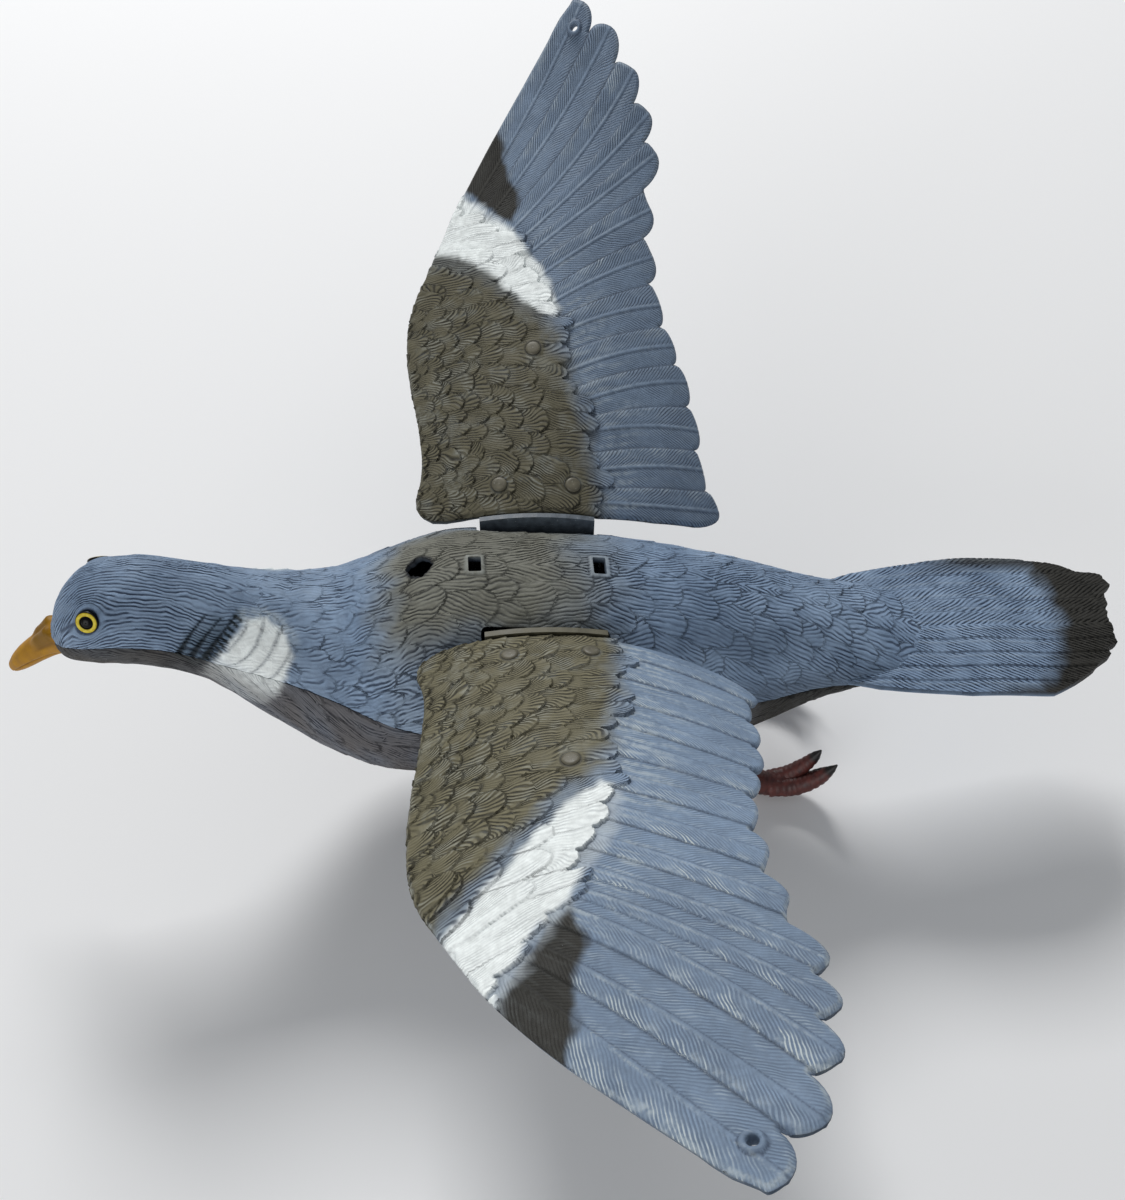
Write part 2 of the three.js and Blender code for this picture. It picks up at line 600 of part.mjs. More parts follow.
function crosshead() {
  const level = HINGE.z - CROSSHEAD_DROP;
  const slot = CRANK.z - CROSSHEAD_DROP;
  const gap = LEVER.end + JAW.play;
  let piece = box(4.5, 7.5, -JAW.half, JAW.half, slot, level + gap + JAW.thick);
  piece = piece.add(box(-4, 5, -JAW.half, JAW.half, level + gap, level + gap + JAW.thick));
  piece = piece.add(box(-4, 5, -JAW.half, JAW.half, level - gap - JAW.thick, level - gap));
  piece = piece.add(box(4.5, 7.5, -YOKE.half, YOKE.half, slot - YOKE.tall, slot + YOKE.tall));
  for (const side of [1, -1]) {
    piece = piece.add(mirrored(box(3.4, 9, 12.7, YOKE.half, slot - 3.5, slot + 3.5), side));
    piece = piece.subtract(rodZ(ROD.x, ROD.y * side, 20, 70, ROD.bore, 12));
  }
  const reach = CRANK.radius + CRANK.pin + 0.5;
  return piece.subtract(box(4, 8, -reach, reach, slot - CRANK.pin - JAW.play, slot + CRANK.pin + JAW.play));
}

addPiece('crosshead', 'white', crosshead());
for (const side of [1, -1]) {
  const rod = rodZ(ROD.x, ROD.y * side, BASE.from + 0.2, 62.8, ROD.r, 12);
  addPiece(side > 0 ? 'right_guide_rod' : 'left_guide_rod', 'steel', rod);
}

// A spur gear turned so that a tooth's middle points along the given angle.
function gear(teeth, z, toothAngle) {
  const pitch = (GEAR.module * teeth) / 2;
  const tip = pitch + 0.68 * GEAR.module;
  const root = pitch - 0.95 * GEAR.module;
  const step = (2 * Math.PI) / teeth;
  const outline = [];
  for (let i = 0; i < teeth; i += 1) {
    const middle = toothAngle + i * step;
    for (const [r, at] of [[root, -0.3], [tip, -0.14], [tip, 0.14], [root, 0.3]]) {
      outline.push([r * Math.cos(middle + at * step), z + r * Math.sin(middle + at * step)]);
    }
  }
  return slabX(outline, GEAR.from, GEAR.to);
}

const crankAngle = -Math.asin(CROSSHEAD_DROP / CRANK.radius);
const crankPin = [CRANK.radius * Math.cos(crankAngle), CRANK.z + CRANK.radius * Math.sin(crankAngle)];
const crankGear = gear(GEAR.teeth, CRANK.z, -Math.PI / 2)
  .subtract(rodX(9, 13, 0, CRANK.z, CRANK.shaft + GAP))
  .subtract(rodX(9, 13, crankPin[0], crankPin[1], CRANK.pin + GAP));
addPiece('crank_gear', 'white', crankGear);
addPiece('crank_shaft', 'steel', rodX(GEAR.from, BULKHEAD.outer, 0, CRANK.z, CRANK.shaft));
addPiece('crank_pin', 'steel', rodX(7.5 + GAP, GEAR.to - 0.2, crankPin[0], crankPin[1], CRANK.pin));

// ---------------------------------------------------------------- motor and its screws

const pinion = gear(GEAR.pinionTeeth, PINION_Z, Math.PI / 2 + Math.PI / GEAR.pinionTeeth)
  .add(rodX(GEAR.from, PLATE.to - 0.2, 0, PINION_Z, 1.5, 12));
addPiece('motor_pinion', 'brass', pinion);

const gearbox = PLATE.to + GAP;
const canEnd = gearbox + MOTOR.gearbox + MOTOR.can;
let motor = rodX(gearbox, gearbox + MOTOR.gearbox, 0, PINION_Z, MOTOR.gearboxR, 24)
  .add(rodX(gearbox + MOTOR.gearbox - 1, canEnd, 0, PINION_Z, MOTOR.canR, 24))
  .add(rodX(canEnd - 1, canEnd + 2, 0, PINION_Z, 4));
for (const side of [1, -1]) {
  motor = motor.subtract(rodX(gearbox - 1, gearbox + 6, MOTOR.screwY * side, PINION_Z, 1.5, 12));
}
addPiece('gear_motor', 'steel', motor);

function screw(length, shank, head, headHeight) {
  return turned([[0, -length], [shank, -length], [shank, 0], [head, 0], [head, headHeight * 0.6],
    [head * 0.7, headHeight], [0, headHeight]], 10);
}

const FRONT = new THREE.Vector3(-1, 0, 0);
const UP = new THREE.Vector3(0, 0, 1);
const DOWN = new THREE.Vector3(0, 0, -1);
[1, -1].forEach((side, i) => {
  const place = new THREE.Vector3(PLATE.from - GAP, MOTOR.screwY * side, PINION_Z);
  addPiece(`motor_screw_${i + 1}`, 'zinc', placed(screw(8, 1.2, 2.2, 1.4), place, FRONT));
});
CHASSIS_SCREWS.forEach(([x, y], i) => {
  const place = new THREE.Vector3(x, y, BASE.to + GAP);
  addPiece(`chassis_screw_${i + 1}`, 'zinc', placed(screw(13, 1.3, 2.6, 1.8), place, UP));
});
SHELL_SCREWS.forEach(([x, y], i) => {
  const place = new THREE.Vector3(x, y, seamAt(x)[0] - 10 - GAP);
  addPiece(`shell_screw_${i + 1}`, 'zinc', placed(screw(21, 1.4, 3, 2), place, DOWN));
});
COVER_SCREWS.forEach((x, i) => {
  const place = new THREE.Vector3(x, 0, bodyAt(x)[1] + COVER.recess - GAP);
  addPiece(`cover_screw_${i + 1}`, 'zinc', placed(screw(12, 1.1, 2.8, 1.4), place, DOWN));
});

// ---------------------------------------------------------------- stake socket

const { bore, depth, tube, flange, flangeThick, top } = SOCKET;
addPiece('stake_socket', 'black', turned([[bore, 0], [flange, 0], [flange, flangeThick], [tube, flangeThick],
  [tube, top], [0, top], [0, depth], [bore, depth], [bore, 0]], 24));

// ---------------------------------------------------------------- battery and switch

function batteryHolder() {
  const { x, z, side, height } = BATTERY;
  const half = side / 2;
  const plates = box(x - half, x + half, -half, half, z, z + 2)
    .add(box(x - half, x + half, -half, half, z + height - 2, z + height));
  const web = 0.5;
  const lengthwise = box(x - half, x + half, -web, web, z, z + height);
  const crosswise = box(x - web, x + web, -half, half, z, z + height);
  return plates.add(lengthwise).add(crosswise);
}

addPiece('battery_holder', 'black', batteryHolder());
[[-1, -1], [1, -1], [1, 1], [-1, 1]].forEach(([sx, sy], i) => {
  const { x, z, cell, cellLength } = BATTERY;
  const from = z + 2.6;
  const can = rodZ(x + sx * 8, sy * 8, from, from + cellLength - 1, cell, 14)
    .add(rodZ(x + sx * 8, sy * 8, from + cellLength - 1.5, from + cellLength + 0.4, 2.7, 12));
  addPiece(`battery_cell_${i + 1}`, 'cell', can);
});

const switchFrom = SWITCH.x - SWITCH.length / 2;
addPiece('switch_body', 'black', box(switchFrom, switchFrom + SWITCH.length, -SWITCH.half, SWITCH.half,
  SWITCH.from, SWITCH.to));
addPiece('switch_slider', 'white', box(SWITCH.x - 4, SWITCH.x, -2, 2, 1.8, SWITCH.from - GAP));

export default decoy;
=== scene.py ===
import json
import math

import bpy
import numpy as np
from mathutils import Matrix, Vector, kdtree
from mathutils.geometry import delaunay_2d_cdt


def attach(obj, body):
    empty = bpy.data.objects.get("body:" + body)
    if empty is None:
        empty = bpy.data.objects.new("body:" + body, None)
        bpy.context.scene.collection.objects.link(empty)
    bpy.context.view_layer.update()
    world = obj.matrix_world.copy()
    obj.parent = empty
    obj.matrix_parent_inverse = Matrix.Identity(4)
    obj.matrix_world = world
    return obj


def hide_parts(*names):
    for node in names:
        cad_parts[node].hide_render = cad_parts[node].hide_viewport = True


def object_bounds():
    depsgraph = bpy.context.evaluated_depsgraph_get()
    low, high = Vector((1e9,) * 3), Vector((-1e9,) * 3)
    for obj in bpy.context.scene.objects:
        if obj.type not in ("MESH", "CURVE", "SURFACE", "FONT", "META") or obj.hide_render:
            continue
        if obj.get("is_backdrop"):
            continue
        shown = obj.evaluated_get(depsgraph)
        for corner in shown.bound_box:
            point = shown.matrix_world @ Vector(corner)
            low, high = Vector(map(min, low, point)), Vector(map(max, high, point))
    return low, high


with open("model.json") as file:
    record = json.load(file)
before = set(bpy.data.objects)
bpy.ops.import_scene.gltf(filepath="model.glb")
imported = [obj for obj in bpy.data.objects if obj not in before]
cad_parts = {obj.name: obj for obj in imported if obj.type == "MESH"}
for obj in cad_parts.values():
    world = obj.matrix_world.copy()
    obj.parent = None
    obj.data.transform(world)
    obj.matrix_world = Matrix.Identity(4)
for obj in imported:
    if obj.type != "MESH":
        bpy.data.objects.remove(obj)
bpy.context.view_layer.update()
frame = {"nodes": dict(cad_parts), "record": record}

MM = 0.001

# ---------------------------------------------------------------- driving dimensions

WALL = 2.2
SEAM_GAP = 0.3
# Body sections from the nose to the rump: X, height of the top, height of the bottom, half width.
BODY = [
    [-174.2, 73.6, 71.2, 0.9], [-173.6, 76.2, 68.0, 3.9], [-172, 80.2, 64.5, 6.8], [-168, 88.8, 62.5, 11.3],
    [-158, 99.7, 61.5, 15.8], [-142, 103, 60, 17.9], [-122, 97.2, 51.5, 19.4], [-100, 87.5, 29.1, 25.7],
    [-77, 82.8, 8.3, 33.6], [-54, 88.6, 0.8, 41], [-32, 96.8, 1.6, 42.4], [-7, 95.8, 3, 39.8],
    [18, 93.4, 4.2, 37.8], [48, 86, 4, 35.4], [78, 76.8, 8.5, 30.9], [104, 66.5, 23, 24.5],
    [124, 56.5, 35, 23], [138, 51.4, 39.5, 21], [150, 48.6, 43, 18],
]
SEAM = [
    [-176, 72], [-164, 78.5], [-150, 81.8], [-134, 81.2], [-116, 75.2], [-98, 69.8], [-73, 61.6],
    [-47, 55.2], [0, 50.5], [72, 47], [110, 44.6], [150, 43.6],
]
TAIL = [
    [104, 21], [124, 27], [150, 31], [176, 33.5], [196, 33], [208, 29], [216, 21], [221, 9], [222.5, 0],
]
TAIL_HEIGHT = [[104, 47], [140, 47], [170, 46], [190, 43.5], [222.5, 42.8]]
TAIL_END = 222.5
TAIL_THICK = 4

WING_THICK = 2.4
FEATHER_WIDTH = 13
LEADING = [
    [40, -44.4], [48.7, -42.1], [69, -42.4], [90, -45.4], [109, -46.6], [129, -44], [147.9, -34.7],
    [168.5, -23], [183, -12.5], [205, 6], [217, 16.5], [223.5, 22], [227.9, 28],
]
# Flight feathers from the body outwards: root X and distance out, tip X and distance out, sideways bow.
FEATHERS = [
    [20, 33.0, 72.6, 44.2, -1.6], [20, 44.0, 67, 56.6, 0], [18, 58, 66.5, 70.4, 0.5],
    [15, 68, 63.2, 87.1, 1], [12, 80.5, 58.9, 99, 0.8], [8, 95, 54.6, 113, 1], [7, 108, 53.1, 131, 0.5],
    [6, 121.5, 53.7, 149, 0], [2, 131.5, 57.6, 170, -1], [-3, 137, 55.7, 184.3, -2.2],
    [-8, 141, 50.5, 199.4, -4], [-15, 151, 42, 215, -3], [-22, 158, 31.5, 226, -1.5],
]
# Rear edge of the wing coverts: distance out, X.
COVERT_EDGE = [
    [27, 28], [40, 25.5], [55, 23.5], [75, 20], [93, 15.5], [107, 14], [122, 8.5], [135, 3.5], [144, -3],
    [151, -10.5], [160, -18.5], [168.5, -24], [228, -60],
]
EYELET = (27.5, 217.5)
EYELET_HOLE = 1.4
EYELET_RIM = 2.6
RIVETS = [(-13, 39), (13.8, 38.4), (2.7, 91.7)]
RIVET_HEAD = 2.85
# How strong the brush strokes are, how far out the white band lies and how deep the barbs look.
WING_PAINT = {"right": (0.5, 6.0, 1.0), "left": (1.0, 0.0, 0.55)}

BACK_HOLE = (-42.8, 3.6, 4.7)
LATCH_WINDOWS = [(-23.3, 4.5, 6.6), (20.3, 4.6, 7.4)]
SLOT = (22.3, 21.8, 36.8)
EYE = (-154.2, 13.1, 92.9)
SHELL_SCREWS = [(-110, 0), (-52, 30), (-52, -30), (80, 0)]
SCREW_HOLE = 3.6
STAKE_HOLE = 8.9
LOWER_SHELL_END = 137.0
COVER = (-74.3, -27.7, 17.3)
COVER_SCREWS = (-70.6, -31.4)
COVER_SCREW_HOLE = 3.0
SWITCH_SLOT = (48.3, 57.7, 2.4)
LEG_HOLE = (57.9, 20.3, 4.6)

# ---------------------------------------------------------------- curves, noise and flat regions


def along(stations):
    """Smooth values between rows of [place, value, ...]."""
    table = np.array(stations, float)
    place, values = table[:, 0], table[:, 1:]
    slope = np.gradient(values, place, axis=0)

    def at(x):
        x = np.clip(np.atleast_1d(np.asarray(x, float)), place[0], place[-1])
        i = np.clip(np.searchsorted(place, x) - 1, 0, len(place) - 2)
        span = place[i + 1] - place[i]
        t = (x - place[i]) / span
        t, span = t[:, None], span[:, None]
        found = (values[i] * (1 + 2 * t) * (1 - t) ** 2 + slope[i] * span * t * (1 - t) ** 2
                 + values[i + 1] * t * t * (3 - 2 * t) + slope[i + 1] * span * t * t * (t - 1))
        return found[:, 0] if values.shape[1] == 1 else found.T

    return at


def smooth(low, high, value):
    """0 below the low value and 1 above the high one; a low above the high turns it round."""
    t = np.clip((value - low) / (high - low), 0, 1)
    return t * t * (3 - 2 * t)


def bell(value, wide):
    """1 where the value is zero, falling to nothing a few widths away."""
    return np.exp(-(value / wide) ** 2)


def fading(gap, length):
    """1 up to a gap of zero, falling away over the length."""
    return np.exp(-np.clip(gap, 0, 50) / length)


def noise(x, y, seed):
    """Smooth noise from -1 to 1, with bumps about one unit wide."""
    size = 128
    table = np.random.default_rng(seed).uniform(-1, 1, (size, size))
    xi, yi = np.floor(x).astype(int), np.floor(y).astype(int)
    fx, fy = x - xi, y - yi
    fx, fy = fx * fx * (3 - 2 * fx), fy * fy * (3 - 2 * fy)
    low = table[xi % size, yi % size] * (1 - fx) + table[(xi + 1) % size, yi % size] * fx
    high = table[xi % size, (yi + 1) % size] * (1 - fx) + table[(xi + 1) % size, (yi + 1) % size] * fx
    return low * (1 - fy) + high * fy


def patchy(low, high, x, y, seed):
    """Patches from 0 to 1, where the noise passes from the low value to the high one."""
    return smooth(low, high, noise(x, y, seed))


def inside_distance(x, y, polygon):
    """Distance from points to a polygon's outline, positive inside it."""
    corners = np.array(polygon, float)
    nearest = np.full(len(x), 1e9)
    inside = np.zeros(len(x), bool)
    for (ax, ay), (bx, by) in zip(corners, np.roll(corners, -1, axis=0)):
        dx, dy = bx - ax, by - ay
        t = np.clip(((x - ax) * dx + (y - ay) * dy) / (dx * dx + dy * dy), 0, 1)
        nearest = np.minimum(nearest, np.hypot(x - ax - t * dx, y - ay - t * dy))
        crosses = (ay > y) != (by > y)
        inside ^= crosses & (x < ax + (y - ay) * dx / (dy if dy else 1e-9))
    return np.where(inside, nearest, -nearest)


def resample(points, step):
    """The closed outline through the points, with points about a step apart."""
    points = np.array(points, float)
    closed = np.vstack([points, points[:1]])
    run = np.concatenate([[0], np.cumsum(np.hypot(*np.diff(closed, axis=0).T))])
    at = np.linspace(0, run[-1], max(8, int(run[-1] / step)), endpoint=False)
    return np.c_[np.interp(at, run, closed[:, 0]), np.interp(at, run, closed[:, 1])]


def within(points, starts, ends):
    """Whether each point is inside an odd number of loops, given the ends of all their edges."""
    result = np.zeros(len(points), bool)
    ax, ay = starts.T
    bx, by = ends.T
    for first in range(0, len(points), 2000):
        x, y = points[first:first + 2000, :, None].transpose(1, 0, 2)
        crosses = (ay > y) != (by > y)
        at = ax + (y - ay) * (bx - ax) / np.where(by == ay, 1, by - ay)
        result[first:first + 2000] = (crosses & (x < at)).sum(1) % 2
    return result


def loop_edges(loops):
    """Pairs of neighbouring points round each loop, numbered through all the loops."""
    pairs = []
    start = 0
    for loop in loops:
        count = len(loop)
        pairs += [(start + i, start + (i + 1) % count) for i in range(count)]
        start += count
    return pairs


def fill(loops, cell, stretch=1.0):
    """Triangles over the area inside the first loop and outside the others: points, triangles, and where the
    loops' own points ended up. Cells are longer by the stretch along the first axis."""
    scale = np.array([1 / stretch, 1])
    rim = np.concatenate(loops) * scale
    edges = loop_edges(loops)
    ends = rim[[b for _, b in edges]]
    dense = np.concatenate([rim + (ends - rim) * t for t in np.linspace(0, 1, 9)[:-1]])
    low = rim.min(0) - 2 * cell
    size = np.ceil((rim.max(0) - low) / cell).astype(int) + 3
    taken = np.zeros(size, bool)
    taken[tuple(np.floor((dense - low) / cell).astype(int).T)] = True
    crossed = np.zeros(size, int)
    for (ax, ay), (bx, by) in zip(rim, ends):
        first, last = sorted(((ax - low[0]) / cell - 0.5, (bx - low[0]) / cell - 0.5))
        for column in range(math.floor(first) + 1, math.floor(last) + 1):
            y = ay + (low[0] + (column + 0.5) * cell - ax) * (by - ay) / (bx - ax)
            crossed[column, math.floor((y - low[1]) / cell - 0.5) + 1] += 1
    inside = np.cumsum(crossed, axis=1) % 2 > 0
    centres = low + (np.argwhere(inside & ~taken) + 0.5) * cell
    centres += np.random.default_rng(1).uniform(-0.14, 0.14, centres.shape) * cell
    points = np.vstack([rim, centres])
    found = delaunay_2d_cdt([Vector(p) for p in points], edges, [], 0, 1e-7, True)
    flat = np.array([tuple(v) for v in found[0]])
    triangles = np.array(found[2], int)
    middles = flat[triangles].mean(1)
    spots = tuple(np.floor((middles - low) / cell).astype(int).T)
    keep = inside[spots]
    unsure = taken[spots]
    keep[unsure] = within(middles[unsure], rim, ends)
    triangles = triangles[keep]
    place = np.full(len(rim), -1)
    for new, old in enumerate(found[3]):
        for index in old:
            if index < len(rim):
                place[index] = new
    used = np.zeros(len(flat), bool)
    used[triangles.ravel()] = True
    used[place] = True
    renumber = np.cumsum(used) - 1
    return flat[used] / scale, renumber[triangles], renumber[place]


def joined(*parts):
    """Several (points, triangles, marks) as one."""
    shifts = np.cumsum([0] + [len(part[0]) for part in parts])
    points = np.vstack([part[0] for part in parts])
    triangles = np.vstack([part[1] + shift for part, shift in zip(parts, shifts)])
    names = set().union(*[part[2] for part in parts])
    marks = {name: np.concatenate([part[2].get(name, np.zeros(len(part[0]))) for part in parts])
             for name in names}
    return points, triangles, marks


def closed_sheet(loops, outer, inner, cell, inner_cell, stretch=1.0):
    """A closed wall: an outer face, an inner face and the edges between them round every loop. Outer and
    inner turn flat points into (places, marks)."""
    flat, faces, rim = fill(loops, cell, stretch)
    flat_in, faces_in, rim_in = fill(loops, inner_cell)
    places, marks = outer(*flat.T)
    places_in, marks_in = inner(*flat_in.T)
    points, triangles, marks = joined((places, faces, marks), (places_in, faces_in[:, ::-1], marks_in))
    rim_in = rim_in + len(flat)
    walls = []
    for a, b in loop_edges(loops):
        walls += [(rim[a], rim[b], rim_in[b]), (rim[a], rim_in[b], rim_in[a])]
    return points, np.vstack([triangles, walls]), marks


def moved_out(surface, x, s, lift):
    """Points of a surface moved along its outward normal. The surface turns flat coordinates into places."""
    d = 0.05
    normal = np.cross(surface(x + d, s) - surface(x - d, s), surface(x, s + d) - surface(x, s - d))
    normal /= np.maximum(np.linalg.norm(normal, axis=1, keepdims=True), 1e-9)
    return surface(x, s) + normal * lift[:, None]


def loft(rings):
    """A closed skin of triangles through rings of equally many points, its ends closed by a fan."""
    rings = np.array(rings, float)
    count, around = rings.shape[:2]
    i, j = np.meshgrid(np.arange(count - 1), np.arange(around), indexing="ij")
    a, b = i * around + j, i * around + (j + 1) % around
    halves = [[a, b, b + around], [a, b + around, a + around]]
    faces = [np.stack(half, -1).reshape(-1, 3) for half in halves]
    points = rings.reshape(-1, 3)
    k = np.arange(around)
    after = (k + 1) % around
    last = (count - 1) * around
    first_cap = np.stack([after, k, np.full(around, len(points))], -1)
    last_cap = np.stack([last + k, last + after, np.full(around, len(points) + 1)], -1)
    points = np.vstack([points, rings[0].mean(0), rings[-1].mean(0)])
    return points, np.vstack([*faces, first_cap, last_cap]), {}


def circle(count):
    return np.linspace(0, 2 * math.pi, count, endpoint=False)


def turned(profile, around):
    """A round closed skin from (radius, height) points that start and end on the axis, about +Z."""
    angle = circle(around)
    rings = [np.stack([r * np.cos(angle), r * np.sin(angle), np.full(around, h)], -1) for r, h in profile]
    return loft(rings)


def placed(part, place, direction):
    """A part made about +Z, moved to a place with +Z turned to a direction."""
    points, faces, marks = part
    turn = np.array(Vector((0, 0, 1)).rotation_difference(Vector(direction)).to_matrix())
    return points @ turn.T + np.array(place), faces, marks


def make_piece(name, part, body, material, cad_node, sharp=50):
    """A mesh object in metres that rides on a CAD body and stands for a CAD node."""
    points, faces, marks = part
    mesh = bpy.data.meshes.new(name)
    mesh.vertices.add(len(points))
    mesh.vertices.foreach_set("co", (points * MM).astype(np.float32).ravel())
    mesh.loops.add(faces.size)
    mesh.loops.foreach_set("vertex_index", faces.astype(np.int32).ravel())
    mesh.polygons.add(len(faces))
    mesh.polygons.foreach_set("loop_start", np.arange(0, faces.size, 3, dtype=np.int32))
    mesh.polygons.foreach_set("use_smooth", np.ones(len(faces), bool))
    mesh.update(calc_edges=True)
    for label, values in sorted(marks.items()):
        mesh.attributes.new(label, "FLOAT", "POINT").data.foreach_set("value", values.astype(np.float32))
    mesh.validate()
    mesh.set_sharp_from_angle(angle=math.radians(sharp))
    piece = bpy.data.objects.new(name, mesh)
    bpy.context.scene.collection.objects.link(piece)
    mesh.materials.append(material)
    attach(piece, body)
    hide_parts(cad_node)


# ---------------------------------------------------------------- materials


class Paint:
    """A node material on its way to a Principled shader. Masks come from the float marks of the mesh."""

    def __init__(self, name):
        self.material = bpy.data.materials.new(name)
        self.material.use_nodes = True
        self.tree = self.material.node_tree
        self.shader = self.tree.nodes["Principled BSDF"]

    def node(self, kind, inputs=(), **settings):
        made = self.tree.nodes.new(kind)
        for key, value in settings.items():
            setattr(made, key, value)
        for key, value in dict(inputs).items():
            self.put(made.inputs[key], value)
        return made

    def put(self, socket, value):
        if isinstance(value, bpy.types.NodeSocket):
            self.tree.links.new(value, socket)
        else:
            socket.default_value = value

    def maths(self, operation, a, b=0.0, clamp=False):
        return self.node("ShaderNodeMath", {0: a, 1: b}, operation=operation, use_clamp=clamp).outputs[0]

    def times(self, a, b, clamp=False):
        return self.maths("MULTIPLY", a, b, clamp)

    def blended(self, share, a, b, kind="MIX"):
        made = self.node("ShaderNodeMix", {0: share, 6: a, 7: b}, data_type="RGBA", blend_type=kind)
        return made.outputs[2]

    def mark(self, name):
        return self.node("ShaderNodeAttribute", attribute_name=name).outputs["Fac"]

    def grain(self, scale, detail=3.0, rough=0.55):
        """Procedural noise in the piece's own space."""
        place = self.node("ShaderNodeTexCoord").outputs["Object"]
        inputs = {"Vector": place, "Scale": scale, "Detail": detail, "Roughness": rough}
        return self.node("ShaderNodeTexNoise", inputs).outputs["Fac"]

    def ramp(self, value, low, high, to_low=0.0, to_high=1.0):
        inputs = {"Value": value, "From Min": low, "From Max": high, "To Min": to_low, "To Max": to_high}
        return self.node("ShaderNodeMapRange", inputs).outputs["Result"]

    def finished(self, bump=None, **sockets):
        """The material, once the shader's sockets and a bump of (height, strength, distance) are set."""
        for key, value in sockets.items():
            self.put(self.shader.inputs[key.replace("_", " ")], value)
        if bump:
            height, strength, distance = bump
            inputs = {"Height": height, "Strength": strength, "Distance": distance}
            self.put(self.shader.inputs["Normal"], self.node("ShaderNodeBump", inputs).outputs[0])
        return self.material


def rgb(red, green, blue):
    """Linear colour from screen values of 0 to 255."""
    def linear(value):
        value /= 255
        return value / 12.92 if value <= 0.04045 else ((value + 0.055) / 1.055) ** 2.4
    return (linear(red), linear(green), linear(blue), 1)


PAINTS = {
    "slate": rgb(118, 139, 165), "slate_light": rgb(138, 159, 184), "pale": rgb(127, 146, 169),
    "olive": rgb(113, 108, 86), "brown": rgb(92, 87, 84), "dark": rgb(50, 49, 45),
    "white": rgb(240, 245, 243), "cream": rgb(190, 199, 200), "raw": rgb(26, 29, 33),
    "teal": rgb(30, 52, 58),
}
GROOVE_SHADE = (0.13, 0.14, 0.19, 1)


def plumage(name, pale=0.0):
    """Matt paint over moulded feathers. Marks on the mesh say where each paint and each groove lies; a
    painted highlight lightens the barb crests, and painted shade darkens the grooves and creases.
    """
    p = Paint(name)
    blotch, fine, speck = p.grain(55, 4), p.grain(420), p.grain(1500, 2, 0.7)
    base = p.blended(p.ramp(blotch, 0.35, 0.68), PAINTS["slate"], PAINTS["slate_light"])
    if pale:
        base = p.blended(pale, base, PAINTS["pale"])
    for zone in ("olive", "brown", "teal", "dark", "white"):
        base = p.blended(p.mark(zone), base, PAINTS[zone])
    uneven = p.maths("ADD", p.ramp(fine, 0.3, 0.7, 0.84, 1.1), p.ramp(blotch, 0.3, 0.7, -0.05, 0.07))
    base = p.blended(1.0, base, uneven, "MULTIPLY")
    wave = p.maths("COSINE", p.times(p.mark("barb"), 2 * math.pi))
    # Painted highlight: the crest of every barb is lightened.
    crest_highlight = p.times(p.ramp(wave, 0.1, -0.9, 0, 0.16), p.mark("barb_depth"), clamp=True)
    base = p.blended(1.0, base, p.maths("ADD", crest_highlight, 1.0), "MULTIPLY")
    # Painted shade: the barb grooves and the crease mark darken the paint.
    groove = p.times(p.ramp(wave, -0.1, 0.85), p.mark("barb_depth"), clamp=True)
    groove = p.times(groove, p.ramp(fine, 0.25, 0.6, 0.5, 1.0))
    shadow = p.maths("MAXIMUM", p.times(groove, 0.92), p.mark("crease"), clamp=True)
    base = p.blended(shadow, base, p.blended(1.0, base, GROOVE_SHADE, "MULTIPLY"))
    stroke = p.times(p.mark("stroke"), p.ramp(wave, -0.1, -0.8))
    stroke = p.times(stroke, p.ramp(fine, 0.3, 0.5, 0.3, 0.95))
    # Cream from the brush mark: dry-brushed paint, and also painted highlights on raised edges.
    brushed = p.times(p.mark("brush"), p.ramp(fine, 0.36, 0.56, 0.1, 0.85))
    base = p.blended(p.maths("MAXIMUM", brushed, stroke, clamp=True), base, PAINTS["cream"])
    glint = p.times(p.ramp(speck, 0.73, 0.77), p.ramp(fine, 0.5, 0.62))
    base = p.blended(p.times(glint, 0.4), base, PAINTS["cream"])
    base = p.blended(p.mark("inside"), base, PAINTS["raw"])
    height = p.maths("SUBTRACT", p.ramp(speck, 0.2, 0.8, 0, 0.25), groove)
    return p.finished((height, 0.8, 0.0004), Base_Color=base, Roughness=p.ramp(fine, 0.3, 0.7, 0.5, 0.66),
                      Specular_IOR_Level=0.22)


def plain_paint(name, low, high, rough, scale=300, metallic=0.0, bump=0.0001, worn=None, coat=0.0,
                claw=None):
    """An uneven paint, plastic or metal between two colours, with spots of wear in a third colour and
    another colour on claws.
    """
    p = Paint(name)
    fine = p.grain(scale, 4)
    base = p.blended(p.ramp(fine, 0.3, 0.7), rgb(*low), rgb(*high))
    if worn:
        base = p.blended(p.ramp(p.grain(scale * 3), 0.66, 0.72, 0, 0.7), base, rgb(*worn))
    if claw:
        base = p.blended(p.mark("claw"), base, rgb(*claw))
    roughness = p.ramp(fine, 0.3, 0.7, rough - 0.06, rough + 0.08)
    return p.finished((p.grain(scale * 5), 0.5, bump), Base_Color=base, Roughness=roughness,
                      Metallic=metallic, Coat_Weight=coat)


def beak_paint():
    p = Paint("beak_paint")
    fine = p.grain(260, 4)
    base = p.blended(p.ramp(fine, 0.3, 0.7), rgb(150, 104, 6), rgb(176, 127, 12))
    base = p.blended(p.times(p.mark("cere"), 0.75), base, rgb(104, 74, 10))
    # Painted shade in the mouth line and in the slit on the bump.
    base = p.blended(p.times(p.mark("crease"), 0.85), base, rgb(92, 58, 14))
    base = p.blended(p.ramp(p.grain(700, 2), 0.6, 0.75, 0, 0.35), base, rgb(120, 84, 20))
    return p.finished((p.grain(900), 0.4, 0.0001), Base_Color=base, Specular_IOR_Level=0.25,
                      Roughness=p.ramp(fine, 0.3, 0.7, 0.42, 0.58))


